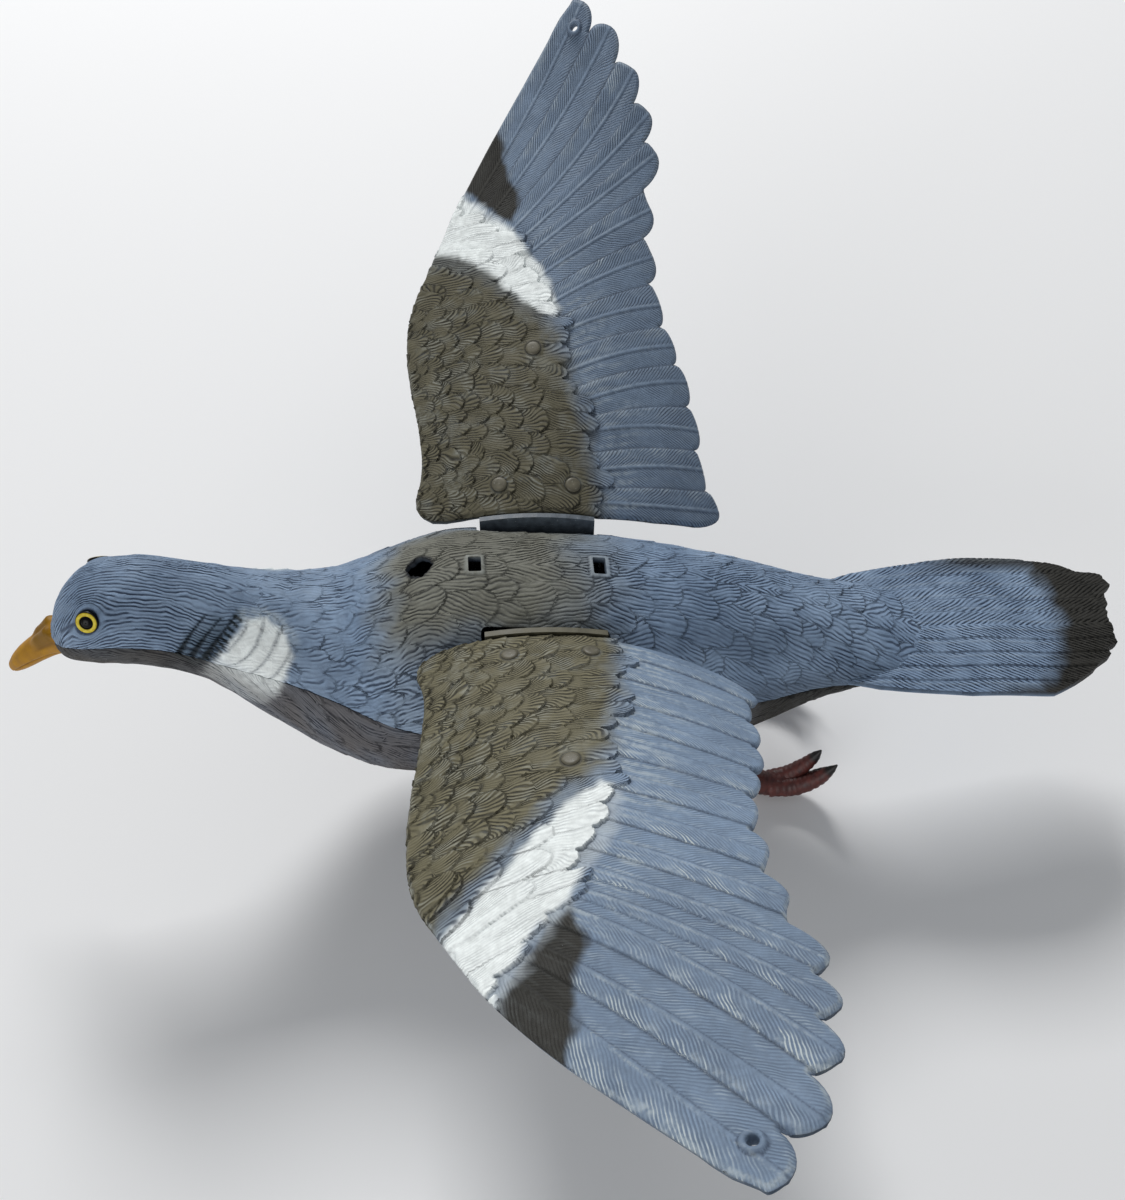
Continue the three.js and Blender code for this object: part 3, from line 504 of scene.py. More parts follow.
def eye_gloss():
    """Gold ring and black pupil, by the distance from the eye's axis in millimetres."""
    p = Paint("eye_gloss")
    radius = p.mark("radius")
    gold = p.blended(p.ramp(p.grain(900), 0.35, 0.65), rgb(196, 170, 28), rgb(222, 204, 70))
    base = p.blended(p.ramp(radius, 2.3, 2.5), rgb(5, 4, 4), gold)
    base = p.blended(p.ramp(radius, 3.45, 3.7), base, rgb(20, 20, 22))
    return p.finished(Base_Color=base, Roughness=0.28, Specular_IOR_Level=0.16)


# ---------------------------------------------------------------- feathers


def raise_mark(marks, name, value, cover=0.0):
    """A mark brought up to a value, after it is cleared where there is a cover."""
    marks[name] = np.maximum(marks[name] * (1 - cover), value)


def scale_rows(ahead, across, rows, seed, round_off, jitter):
    """Overlapping feather scales. Ahead grows towards the front; rows are (rear edge, scale width) from the
    rear to the front, and each row lies over the one behind it."""
    lucky = np.random.default_rng(seed).uniform(-1, 1, (len(rows), 256))
    shown = {"back": 0.0, "offset": 0.0, "to_edge": 99.0, "to_cover": 99.0, "luck": 0.0, "width": 1.0}
    free = np.ones(len(ahead), bool)
    cover = np.full(len(ahead), 1e3)
    for r in reversed(range(len(rows))):
        rear, width = rows[r]
        depth = rows[min(r + 1, len(rows) - 1)][0] - rows[min(r, len(rows) - 2)][0]
        place = across / width + 0.5 * (r % 2) + 0.13 * r
        index = np.floor(place).astype(int)
        offset = place - index - 0.5
        luck = lucky[r, index % 256]
        edge = rear + jitter * depth * luck + round_off * width * 4 * offset * offset
        hit = free & (ahead >= edge)
        span = np.minimum(np.maximum(cover - edge, 0.5), depth * 2.2)
        here = {"back": 1 - np.clip((ahead - edge) / span, 0, 1), "offset": offset, "to_edge": ahead - edge,
                "to_cover": cover - ahead, "luck": luck, "width": width}
        shown = {key: np.where(hit, here[key], old) for key, old in shown.items()}
        free &= ~hit
        cover = np.minimum(cover, edge)
    shown["to_cover"] = np.where(free, cover - ahead, shown["to_cover"])
    shown["to_side"] = (0.5 - np.abs(shown["offset"])) * shown["width"]
    return shown | {"free": free}


def barbs(phase):
    """Depth of a groove pattern, 0 to 1, sharpest in the middle of each groove."""
    return np.clip((np.cos(2 * math.pi * phase) - 0.15) / 0.85, 0, 1)


# ---------------------------------------------------------------- body shells

body_run = np.array(BODY)
body_path = np.concatenate([[0], np.cumsum(np.hypot(*np.diff(body_run[:, :2], axis=0).T))])
body_at = along(np.c_[body_path, body_run])
seam_at = along(SEAM)
tail_height_at = along(TAIL_HEIGHT)
tail_half_at = along(TAIL)


def path_of(x):
    """Place along the back's profile at a station X."""
    fine = np.linspace(0, body_path[-1], 2000)
    return np.interp(x, body_at(fine)[0], fine)


def section(path):
    x, top, bottom, half = body_at(path)
    return x, (top + bottom) / 2, (top - bottom) / 2, half, (half + (top - bottom) / 2) / 2


def body_surface(facing):
    """The back (facing 1) or the belly (facing -1) over path and girth, the girth from the middle line."""
    def surface(path, s):
        x, centre, tall, half, radius = section(path)
        turn = s / radius
        return np.stack([x, facing * half * np.sin(turn), centre + facing * tall * np.cos(turn)], -1)
    return surface


def side_limit(path, facing):
    """Girth from the middle line of the back or the belly to the parting line."""
    x, centre, tall, _, radius = section(path)
    level = seam_at(x) + facing * SEAM_GAP / 2
    return radius * np.arccos(np.clip(facing * (level - centre) / tall, -0.985, 0.985))


def shell_outline(facing, end_path, step):
    path = np.arange(0.05, end_path, step)
    limit = side_limit(path, facing)
    end = np.linspace(-limit[-1], limit[-1], max(6, int(2 * limit[-1] / step)))[1:-1]
    left = np.c_[path, -limit]
    right = np.c_[path, limit][::-1]
    return np.vstack([left, np.c_[np.full(len(end), path[-1]), end], right])


def on_body(loop, facing):
    """A loop in plan as (path, girth) on the back or the belly."""
    path = path_of(loop[:, 0])
    _, _, _, half, radius = section(path)
    return np.stack([path, facing * radius * np.arcsin(np.clip(loop[:, 1] / half, -0.99, 0.99))], -1)


def rectangle(x0, x1, y0, y1, corner, step):
    """A rectangle with rounded corners in plan."""
    corners = [(x1 - corner, y1 - corner, 0), (x0 + corner, y1 - corner, 90),
               (x0 + corner, y0 + corner, 180), (x1 - corner, y0 + corner, 270)]
    points = []
    for cx, cy, start in corners:
        for angle in np.radians(np.linspace(start, start + 90, 5)):
            points.append((cx + corner * math.cos(angle), cy + corner * math.sin(angle)))
    return resample(points, step)


def ring(x, y, radius, step, ragged=0.0):
    """A round hole's edge in plan, if wanted a ragged one."""
    angle = circle(max(12, int(2 * math.pi * radius / step)))
    wobble = noise(angle * 2.4, angle * 0, 3) + noise(angle * 6, angle * 0, 4) / 2
    wobble = radius + ragged * wobble
    return np.c_[x + wobble * np.cos(angle), y + wobble * np.sin(angle)]


def neck_marks(x, turn, marks):
    """The white neck patch with its dark slashes and notched front edge; turn is in degrees from the top.
    Gives the patch's ridges and the slashes, which also shape the surface."""
    squeeze = 0.42
    u, v = x, turn * squeeze
    wobble = 0.7 * noise(u / 2.2, v / 2.2, 40)
    patch = [(-103, 9.5), (-96, 7.5), (-89, 11.5), (-87.5, 17), (-90, 24), (-96, 34), (-103, 43.5),
             (-112, 47), (-122, 44), (-117, 33), (-112.5, 26), (-107.5, 17)]
    gap = inside_distance(u, v, patch) + wobble
    white = smooth(-0.8, 2.0, gap) * (1 - 0.72 * smooth(24, 38, v))
    halo = smooth(-4.5, 0, gap) * smooth(20, 8, v) * smooth(-107, -103, u)
    raise_mark(marks, "brush", 0.55 * halo)
    front = [(-106, 8), (-103.2, 9.5), (-107.2, 17.5), (-112.2, 27), (-117, 34), (-120.5, 34), (-115, 25),
             (-109.8, 16)]
    band = smooth(-0.6, 0.6, inside_distance(u, v, front) + 0.6 * wobble)
    along_band = (v - 8) * 0.9 - (u + 105) * 0.4
    notches = smooth(-0.1, 0.45, np.cos(along_band * 2 * math.pi / 2.6 + wobble))
    slashes = np.zeros(len(u))
    for ax, at, bx, bt in [(-115.5, 32, -126.5, 84), (-110.5, 29, -122, 80), (-106, 24, -118, 77)]:
        ay, dx, dy = at * squeeze, bx - ax, (bt - at) * squeeze
        t = np.clip(((u - ax) * dx + (v - ay) * dy) / (dx * dx + dy * dy), 0, 1)
        wide = 0.12 + 0.75 * t ** 1.2
        off = np.hypot(u - ax - t * dx + 0.5 * np.sin(3 * t), v - ay - t * dy)
        slashes = np.maximum(slashes, smooth(wide + 0.4, wide - 0.2, off))
    shade = [(-126, 28), (-121, 21), (-113, 13), (-107, 12), (-110, 22), (-115, 33), (-121, 42), (-129, 37)]
    marks["teal"] = np.maximum(band * (0.35 + 0.65 * notches), 0.9 * slashes)
    raise_mark(marks, "teal", 0.5 * smooth(-2, 3.5, inside_distance(u, v, shade) + wobble))
    pitch = 4.6
    ridge = ((u + 95) * 0.86 + (v - 18) * 0.5 + 0.02 * (v - 18) ** 2 + 0.4 * wobble) / pitch
    saw = ridge - np.floor(ridge)
    edge = np.minimum(saw, 1 - saw) * pitch
    # Painted shade at the step of each ridge in the white patch.
    raise_mark(marks, "crease", white * 0.5 * bell(edge, 0.42) * smooth(52, 30, v), 0.7 * white)
    raise_mark(marks, "crease", 0.8 * band * notches)
    marks["white"] = white
    marks["barb_depth"] = marks["barb_depth"] * (1 - 0.75 * white)
    return white * saw, slashes


def eye_place():
    """Angle from the top and girth from the middle line at the eye's centre."""
    _, centre, tall, half, radius = (float(v[0]) for v in section(path_of(np.array([EYE[0]]))))
    turn = math.atan2(EYE[1] / half, (EYE[2] - centre) / tall)
    return turn, radius * turn


eye_turn, eye_girth = eye_place()


def body_feathers(x, s, facing):
    """Lift and marks of the moulded feathers on the body, and the distance from the eye."""
    rows = []
    edge = 152.0
    while edge > -122:
        length = np.interp(edge, [-120, -80, -20, 60, 110, 150], [6.5, 9.5, 12.5, 11.5, 10, 9])
        rows.append((-edge, length * 0.92))
        edge -= length
    ahead = -x + 2.6 * noise(x / 13, s / 11, 5) + 0.002 * s * s
    scales = scale_rows(ahead, s + 2.2 * noise(x / 16, s / 12, 6), rows, 7 if facing > 0 else 8, 0.36, 0.3)
    strength = smooth(-104, -62, x) * (0.35 + 0.65 * patchy(-0.45, 0.5, x / 17, s / 9, 9))
    lateral = np.abs(s) - eye_girth
    gap = np.hypot(x - EYE[0], lateral) if facing > 0 else np.full(len(x), 99.0)
    # The grooves part round the eye.
    flow = np.where(gap < 40, 1 - np.minimum(26.0 / np.maximum(gap, 5.2) ** 2, 0.96), 1)
    lateral = eye_girth + lateral * flow
    rear = smooth(-65, -35, x)
    calm = (1 - 0.4 * smooth(-118, -132, x)) * (1 - 0.4 * rear)
    tilt = (0.22 + 0.3 * rear) * scales["luck"] * smooth(-110, -80, x)
    wave = 1.35 * noise(x / 7.5, s / 6, 11) + 0.55 * noise(x / 3.2, s / 4, 12)
    wave += 0.3 * noise(x / 1.6, s / 2, 10) + 0.605 * np.sin(x / 4.1 + 2.4 * noise(x / 20, s / 14, 13))
    fan = 0.16 * scales["offset"] * scales["width"] * scales["back"] * strength
    pitch = np.interp(x, [-160, -128, -90], [1.3, 1.35, 1.55])
    phase = (lateral + wave * calm + fan + tilt * (x + 3 * scales["luck"])) / pitch
    broken = smooth(-125, -100, x) * (1 - rear)
    dash = smooth(-0.6 + 0.35 * broken, 0.15 + 0.2 * broken, noise(x / (5.5 - 1.5 * broken), s / 1.35, 14))
    dash *= 0.75 - 0.3 * rear + 0.35 * noise(x / 25, s / 18, 15)
    depth = np.clip(0.36 - 0.22 * broken - 0.1 * rear + 1.05 * dash, 0, 1) * smooth(5.2, 6.6, gap)
    drawn = strength * smooth(-92, -38, x) * patchy(-0.5, 0.3, x / 5, s / 4, 19)
    # Painted shade: a dark line just behind the edge of the scale in front, and along the sides of each
    # scale.
    crease = fading(scales["to_cover"], 0.85) * drawn
    crease = np.maximum(crease, 0.3 * bell(scales["to_side"], 0.4) * drawn * scales["back"])
    lift = 0.42 * scales["back"] ** 1.7 * strength - 0.38 * barbs(phase) * depth
    lift += 0.2 * noise(x / 4, s / 3.2, 16) - 0.2 * crease
    # Painted highlight along each scale's own raised edge, added to the brush mark.
    worn = 0.22 * fading(scales["to_edge"], 0.5) * strength
    marks = {"barb": phase, "barb_depth": depth, "crease": crease * (0.65 + 0.45 * noise(x / 6, s / 5, 17)),
             "brush": worn * patchy(0.1, 0.7, x / 8, s / 8, 18)}
    return lift, marks, gap


def near_turn(s, turn):
    """Degrees from the top on the near side; the far side's neck patch sits higher."""
    return np.where(s < 0, turn, turn - 24)


def upper_look(path, s):
    x, _, _, half, radius = section(path)
    lift, marks, gap = body_feathers(x, s, 1)
    y = half * np.sin(s / radius)
    wobble = 5 * noise(x / 12, s / 10, 20) + 2 * noise(x / 4, s / 4, 21)
    ends = smooth(-66, -46, x + wobble) * smooth(40, -4, x + wobble)
    marks["olive"] = 0.85 * ends * (0.25 + 0.75 * smooth(34, 17, np.abs(y) + 0.6 * wobble))
    ridge, slashes = neck_marks(x, near_turn(s, np.degrees(np.abs(s) / radius)), marks)
    lift = lift * (1 - 0.6 * marks["white"]) + 0.7 * ridge - 0.45 * slashes
    raise_mark(marks, "crease", 0.85 * slashes)
    # The groove from the bill to the eye, and the ring that the eye sits in.
    drop = np.abs(s) - eye_turn * radius
    lore = np.hypot(x + 161.5 - np.clip(x + 161.5, -4, 2.6), drop + 0.1 * (x + 158))
    # Painted shade in the groove from the bill to the eye.
    raise_mark(marks, "crease", 0.75 * smooth(1.1, 0.3, lore))
    lift += 0.55 * bell(gap - 4.7, 0.55) - 0.7 * smooth(4.4, 3.6, gap) - 0.4 * smooth(1.2, 0.2, lore)
    # Painted shade in the ring that the eye sits in.
    raise_mark(marks, "crease", 0.75 * smooth(5.0, 4.3, gap))
    for wx, long, wide in LATCH_WINDOWS:
        corners = [(wx + i * long / 2, j * wide / 2) for i, j in ((-1, -1), (1, -1), (1, 1), (-1, 1))]
        out = -inside_distance(x, y, corners)
        collar = smooth(1.5, 0.95, out)
        lift = lift * (1 - collar) + 0.55 * collar
        marks["barb_depth"] *= 1 - collar
        # Painted shade just outside each raised collar.
        raise_mark(marks, "crease", 0.6 * bell(out - 1.6, 0.3), collar)
        raise_mark(marks, "brush", 0.25 * collar)
    hole_x, hole_y, hole_radius = BACK_HOLE
    # Painted shade round the edge of the back hole.
    raise_mark(marks, "crease", smooth(0.9, 0.1, np.hypot(x - hole_x, y - hole_y) - hole_radius))
    rim = side_limit(path, 1) - np.abs(s)
    lift -= 0.5 * smooth(0.7, 0.0, rim) + 0.6 * smooth(126, 147, x + 3 * noise(s / 4, x / 9, 22))
    # Painted shade low on the flanks near the parting line, towards the rear; the front of the back is also
    # a little darker.
    marks["dark"] = np.maximum(0.36 * smooth(14, 3, rim) * smooth(20, 70, x), 0.12 * smooth(-50, -80, x))
    return moved_out(body_surface(1), path, s, lift), marks


def lower_look(path, s):
    x, _, _, half, radius = section(path)
    lift, marks, _ = body_feathers(x, s, -1)
    wobble = noise(x / 9, s / 9, 50)
    marks["brown"] = 0.86 + 0.14 * wobble
    throat, vent = smooth(-112, -128, x + 4 * wobble), smooth(58, 92, x + 6 * wobble)
    marks["dark"] = np.maximum(0.68 * throat, 0.95 * vent)
    ridge, _ = neck_marks(x, near_turn(-s, 180 - np.degrees(np.abs(s) / radius)), marks)
    rim = side_limit(path, -1) - np.abs(s)
    lift = lift * 0.9 + 0.5 * ridge - 0.5 * smooth(0.7, 0.0, rim)
    lift *= 1 - smooth(17, 14.5, np.hypot(x, half * np.sin(s / radius)))
    return moved_out(body_surface(-1), path, s, lift), marks


def inner_wall(facing):
    def face(path, s):
        depth = np.minimum(WALL, 0.45 * section(path)[2])
        return moved_out(body_surface(facing), path, s, -depth), {"inside": np.ones(len(path))}
    return face


def tail_face(x, y, facing):
    """Heights of the tail fan's upper or lower face, thinner to the sides, and the half width."""
    half = np.maximum(tail_half_at(x), 1)
    share = np.clip(y / (half + 1.2), -1, 1)
    return tail_height_at(x) + facing * TAIL_THICK / 2 * (1.08 - 0.62 * share ** 4), half, share


def tail_look(x, y):
    """Upper face of the tail fan: the middle feathers lie over the outer ones."""
    base, half, share = tail_face(x, y, 1)
    spread = np.interp(x, [100, 150, 222], [5.3, 6.2, 6.6])
    place = np.abs(y + 1.2 + 0.5 * noise(x / 14, y / 6, 30)) / spread
    index = np.floor(place)
    part = place - index
    shaft = (part - 0.3) * spread
    phase = (x - 1.75 * (part * spread) + 0.7 * noise(x / 7, y / 3, 31) + 0.9 * index) / 2.6
    strokes = 0.35 + 0.65 * patchy(-0.45, 0.4, x / 6, y / 2.4, 32)
    depth = strokes * smooth(0.1, 0.5, part * spread) * np.where(y < 0, 1.3, 1.0)
    ridge = bell(shaft, 0.4)
    lift = 0.5 * part ** 1.4 * smooth(1.0, 0.93, part) + 0.22 * ridge - 0.3 * barbs(phase) * depth
    lift += 0.14 * noise(x / 5, y / 3, 33)
    fade = 0.35 + 0.65 * patchy(-0.5, 0.3, x / 14, y / 2, 34)
    # Painted shade: a dark line at the foot of each step between feathers and beside each quill.
    crease = bell(part * spread, 0.42) * fade * smooth(0.5, 1.5, index + part)
    crease = np.maximum(crease, 0.4 * bell(shaft - 0.6, 0.25) * fade)
    tip = TAIL_END - x - np.where(y < 0, 22, 6) * share ** 2
    band = smooth(27, 16, tip + 2.2 * noise(x / 6, y / 5, 35))
    far_rim = smooth(10, 2, half - y) * smooth(143, 176, x)
    near_rim = smooth(7, 1.5, half + y) * smooth(160, 184, x)
    marks = {"barb": phase, "barb_depth": depth, "crease": crease, "brush": 0.2 * ridge * (1 - band),
             "dark": np.maximum(band, 0.9 * np.maximum(far_rim, near_rim))}
    return np.stack([x, y, base + lift], -1), marks


def tail_under(x, y):
    base, _, _ = tail_face(x, y, -1)
    place = y / 5.4
    middle = (place - np.round(place)) * 5.4
    band = smooth(34, 18, TAIL_END - x + 3 * noise(x / 7, y / 6, 36))
    # Painted shade in the grooves between the feathers underneath.
    marks = {"dark": band, "crease": 0.4 * bell(middle, 0.4)}
    return np.stack([x, y, base - 0.25 * bell(middle, 0.5)], -1), marks


def tail_outline(step):
    x = np.concatenate([np.linspace(106, 216, 56), np.linspace(216, TAIL_END - 0.1, 12)[1:]])
    half = tail_half_at(x)
    ragged = 0.45 * smooth(180, 205, x)
    right = np.c_[x, half + ragged * noise(x / 3.1, x * 0, 37)]
    rounded = 26.5 * np.clip((222.9 - x) / 22, 0, 1.5) ** 0.46
    left = np.c_[x, -np.minimum(half + ragged * noise(x / 2.7, x * 0, 38), rounded)][::-1]
    x, y = resample(np.vstack([right, left]), step).T
    bumps = 1.3 * noise(y / 2.6, y * 0, 39) - 0.7 * np.cos(y * 2 * math.pi / 6.4)
    x = x + smooth(206, 216, x) * (bumps - 0.6)
    corner = 8.5 * bell(np.hypot(x - 216, y - 18), 8.5)
    x, y = x + 0.95 * corner, y + 0.3 * corner
    return np.c_[x + smooth(196, 216, x) * 0.12 * np.maximum(y, 0), y]


def upper_shell(material):
    loops = [shell_outline(1, body_path[-1] - 0.2, 0.7)]
    for x, long, wide in LATCH_WINDOWS:
        loops.append(on_body(rectangle(x - long / 2, x + long / 2, -wide / 2, wide / 2, 0.5, 0.5), 1))
    loops.append(on_body(ring(*BACK_HOLE, 0.5, 0.7), 1))
    half, near, far = SLOT
    for side in (1, -1):
        loops.append(on_body(rectangle(-half, half, near, far, 2.0, 0.8) * [1, side], 1))
    cell = 0.4
    back = closed_sheet(loops, upper_look, inner_wall(1), cell, 3.0, 2.0)
    tail = closed_sheet([tail_outline(0.55)], tail_look, tail_under, 0.42, 1.0, 1.5)
    shell = joined(back, tail)
    make_piece("upper_shell_feathered", shell, "body", material, "upper_shell")


def leg_hole(side):
    """Edge in plan of the hole where the slanting shank passes through the curved belly."""
    x, y, radius = LEG_HOLE
    tilt, shear = 1.25, 0.67
    turn = circle(40)
    slant = tilt * np.cos(turn) - shear * np.sin(turn)
    return np.c_[x + radius * slant, side * (y + radius * np.sin(turn))]


def lower_shell(material):
    x0, x1, half = COVER
    slot0, slot1, slot_half = SWITCH_SLOT
    holes = [rectangle(x0, x1, -half, half, 1.0, 1.0), ring(0, 0, STAKE_HOLE, 0.8),
             rectangle(slot0, slot1, -slot_half, slot_half, 0.6, 0.6)]
    holes += [ring(x, y, SCREW_HOLE, 0.6) for x, y in SHELL_SCREWS] + [leg_hole(side) for side in (1, -1)]
    loops = [shell_outline(-1, path_of(LOWER_SHELL_END), 0.9)] + [on_body(hole, -1) for hole in holes]
    shell = closed_sheet(loops, lower_look, inner_wall(-1), 0.62, 3.0, 1.7)
    make_piece("lower_shell_feathered", shell, "body", material, "lower_shell")


def battery_cover(material):
    x0, x1, half = COVER
    gap = 0.35
    flat = [rectangle(x0 + gap, x1 - gap, gap - half, half - gap, 1.0, 1.0)]
    flat += [ring(x, 0, COVER_SCREW_HOLE, 0.5) for x in COVER_SCREWS]
    cover = closed_sheet([on_body(loop, -1) for loop in flat], lower_look, inner_wall(-1), 0.8, 3.0, 1.3)
    make_piece("battery_cover_feathered", cover, "body", material, "battery_cover")


# ---------------------------------------------------------------- wings

leading_at = along(LEADING)
covert_edge_at = along(COVERT_EDGE)


def wing_height(x, out):
    u = x - 38
    w = out - 27
    q = w / 100
    sweep = 0.505 * w - 0.989e-3 * w * w + 5.27e-6 * w ** 3
    return 81.5 + sweep + u * (-0.556 + 0.249 * q + 0.058 * q * q) - 5.091e-3 * (u - 10) ** 2


def wing_surface(x, out):
    return np.stack([x, out, wing_height(x, out)], -1)


def feather_spine(row):
    """The quill of a flight feather as points from its root to its tip."""
    root, tip = np.array(row[0:2], float), np.array(row[2:4], float)
    along_it = (tip - root) / np.linalg.norm(tip - root)
    sideways = np.array([-along_it[1], along_it[0]])
    t = np.linspace(0, 1, 9)[:, None]
    return root * (1 - t) + tip * t + sideways * row[4] * 4 * t * (1 - t)


SPINES = [feather_spine(row) for row in FEATHERS]
LAST_FEATHER = len(SPINES) - 1


def spine_place(x, out, spine):
    """Distance along a quill, sideways from it (positive towards the wing tip), and the quill's length."""
    best = np.full(len(x), 1e9)
    run = np.zeros(len(x))
    side = np.zeros(len(x))
    start = 0.0
    last = len(spine) - 2
    for k in range(last + 1):
        length = np.linalg.norm(spine[k + 1] - spine[k])
        d = (spine[k + 1] - spine[k]) / length
        u, v = x - spine[k][0], out - spine[k][1]
        held = np.clip(u * d[0] + v * d[1], -1e3 if k == 0 else 0, 1e3 if k == last else length)
        gap = np.hypot(u - held * d[0], v - held * d[1])
        nearer = gap < best
        best = np.where(nearer, gap, best)
        run = np.where(nearer, start + held, run)
        side = np.where(nearer, np.sign(d[0] * v - d[1] * u) * gap, side)
        start += length
    return run, side, start


def feather_place(x, out):
    """Which flight feather shows at a point (0 is nearest the body), the share of the way across it from its
    overlapped edge, how far along and sideways from the quill, and how far from the tip."""
    runs, sides, lengths = zip(*[spine_place(x, out, spine) for spine in SPINES])
    number = np.where(sides[0] < 0, sides[0] / FEATHER_WIDTH, -0.5)
    for i in range(LAST_FEATHER):
        between = (sides[i] >= 0) & (sides[i + 1] < 0)
        share = sides[i] / np.maximum(sides[i] - sides[i + 1], 1e-6)
        number = np.where(between, i + share, number)
    number = np.where(sides[-1] >= 0, LAST_FEATHER + sides[-1] / 14.0, number)
    ahead_of_quill = 0.54
    shown = np.clip(np.floor(number + ahead_of_quill), 0, LAST_FEATHER).astype(int)
    every = np.arange(len(x))
    run, side = np.array(runs)[shown, every], np.array(sides)[shown, every]
    return shown, number - shown + ahead_of_quill, run, side, np.array(lengths)[shown] - run


def wing_outline(step):
    """Root edge, round feather tips from the body outwards, and the leading edge back to the root."""
    points = [(-20, 28.2), (23, 28), (45, 31)]
    tips = np.array([row[2:4] for row in FEATHERS], float)
    heads = [(spine[-1] - spine[-2]) / np.linalg.norm(spine[-1] - spine[-2]) for spine in SPINES]
    notch = [np.array([61.5, 34.8])]
    for i in range(LAST_FEATHER):
        depth = 3.0 + 4.2 * (i / LAST_FEATHER) ** 1.6
        head = heads[i] + heads[i + 1]
        notch.append((tips[i] + tips[i + 1]) / 2 - head / np.linalg.norm(head) * depth)
    notch.append(np.array([27.0, 227.6]))
    turn = np.radians(np.linspace(0, 90, 8))
    for i, (tip, d) in enumerate(zip(tips, heads)):
        side = np.array([-d[1], d[0]])
        for corner, angles in ((notch[i], turn), (notch[i + 1], turn[::-1])):
            back, wide = (corner - tip) @ d, (corner - tip) @ side
            points += [tip + side * wide * math.cos(a) + d * back * (1 - math.sin(a)) for a in angles]
    outs = np.linspace(226.5, 41, 60)
    points += list(zip(leading_at(outs), outs))
    points += [(-44.2, 37), (-42.6, 33.6), (-39.2, 30.8), (-34, 29.2), (-28, 28.5)]
    kept = [points[0]]
    for point in points[1:]:
        if math.dist(point, kept[-1]) > 0.25:
            kept.append(point)
    return resample(kept, step)


def flight_feathers(x, out, cut):
    """Lift and marks of the flight feathers; the cut is how deep the barbs look."""
    shown, across, run, side, rest = feather_place(x, out)
    own = np.where(shown == LAST_FEATHER, np.minimum(across, 0.95), across)
    vane = np.clip(own, 0, 1)
    luck = np.random.default_rng(61).uniform(0, 1, 32)[shown]
    bend = 0.8 * noise(run / 8, side / 4 + 9 * shown, 62) + 0.35 * noise(run / 2.5, side / 2, 63)
    phase = (run - 1.5 * np.abs(side) + bend + 3 * luck) / 1.55
    uneven = 0.45 + 0.55 * patchy(-0.55, 0.45, run / 6, side / 2.5 + 7 * shown, 64)
    depth = smooth(0.35, 1.1, np.abs(side)) * uneven * np.where(side > 0, 0.75, 0.72)
    lift = 0.44 * vane ** 1.4 * smooth(1.0, 0.965, own) + 0.17 * bell(side, 0.34) * smooth(2, 14, rest)
    lift += 0.07 * noise(x / 5, out / 5, 60) - 0.12 * bell(np.abs(side) - 1.0, 0.4)
    lift -= 0.07 * barbs(phase) * depth
    step = np.maximum(bell(vane * FEATHER_WIDTH, 0.5), smooth(0.968, 1.0, own))
    step *= 0.75 + 0.25 * noise(run / 7, shown * 1.7, 77)
    streak = patchy(-0.35, 0.35, run / 9, side / 1.6 + 5 * shown, 65)
    edge = fading((0.955 - own) * FEATHER_WIDTH, 1.2) * smooth(0.975, 0.95, own)
    brush = 0.6 * edge * streak * patchy(-0.4, 0.4, run / 3, shown * 2.3, 78)
    # Painted highlight in a narrow strip on the tipward side of each quill.
    brush = np.maximum(brush, 0.55 * smooth(0.1, 0.5, side) * smooth(1.0, 0.6, side) * streak)
    brush = np.maximum(brush, 0.7 * smooth(1.2, 0.2, rest) * streak)
    whisker = patchy(0.1, 0.5, run / 12, side / 0.8 + 5 * shown, 85)
    brush = np.maximum(brush, 0.6 * whisker * smooth(30, 6, x - covert_edge_at(out)))
    reach = 0.74 + 0.12 * noise(run / 4, shown * 1.3, 79)
    each = 0.15 + 0.85 * patchy(-0.35, 0.4, phase * 0.7, shown * 3.7, 83)
    patches = patchy(-0.45, 0.25, run / 13, shown * 2.1, 84)
    stroke = 0.9 * smooth(reach, reach + 0.16, own) * each * patches
    stroke += 0.3 * patchy(-0.1, 0.5, run / 5, side / 2, 80) * each
    past_root = smooth(-3, 8, run)
    # Painted shade: a dark line at each feather's step and beside each quill.
    crease = np.maximum(0.8 * step, 0.6 * bell(side + 0.62, 0.26))
    return lift, {"barb": phase, "barb_depth": cut * depth, "crease": crease, "brush": brush * past_root,
                  "stroke": stroke * past_root}


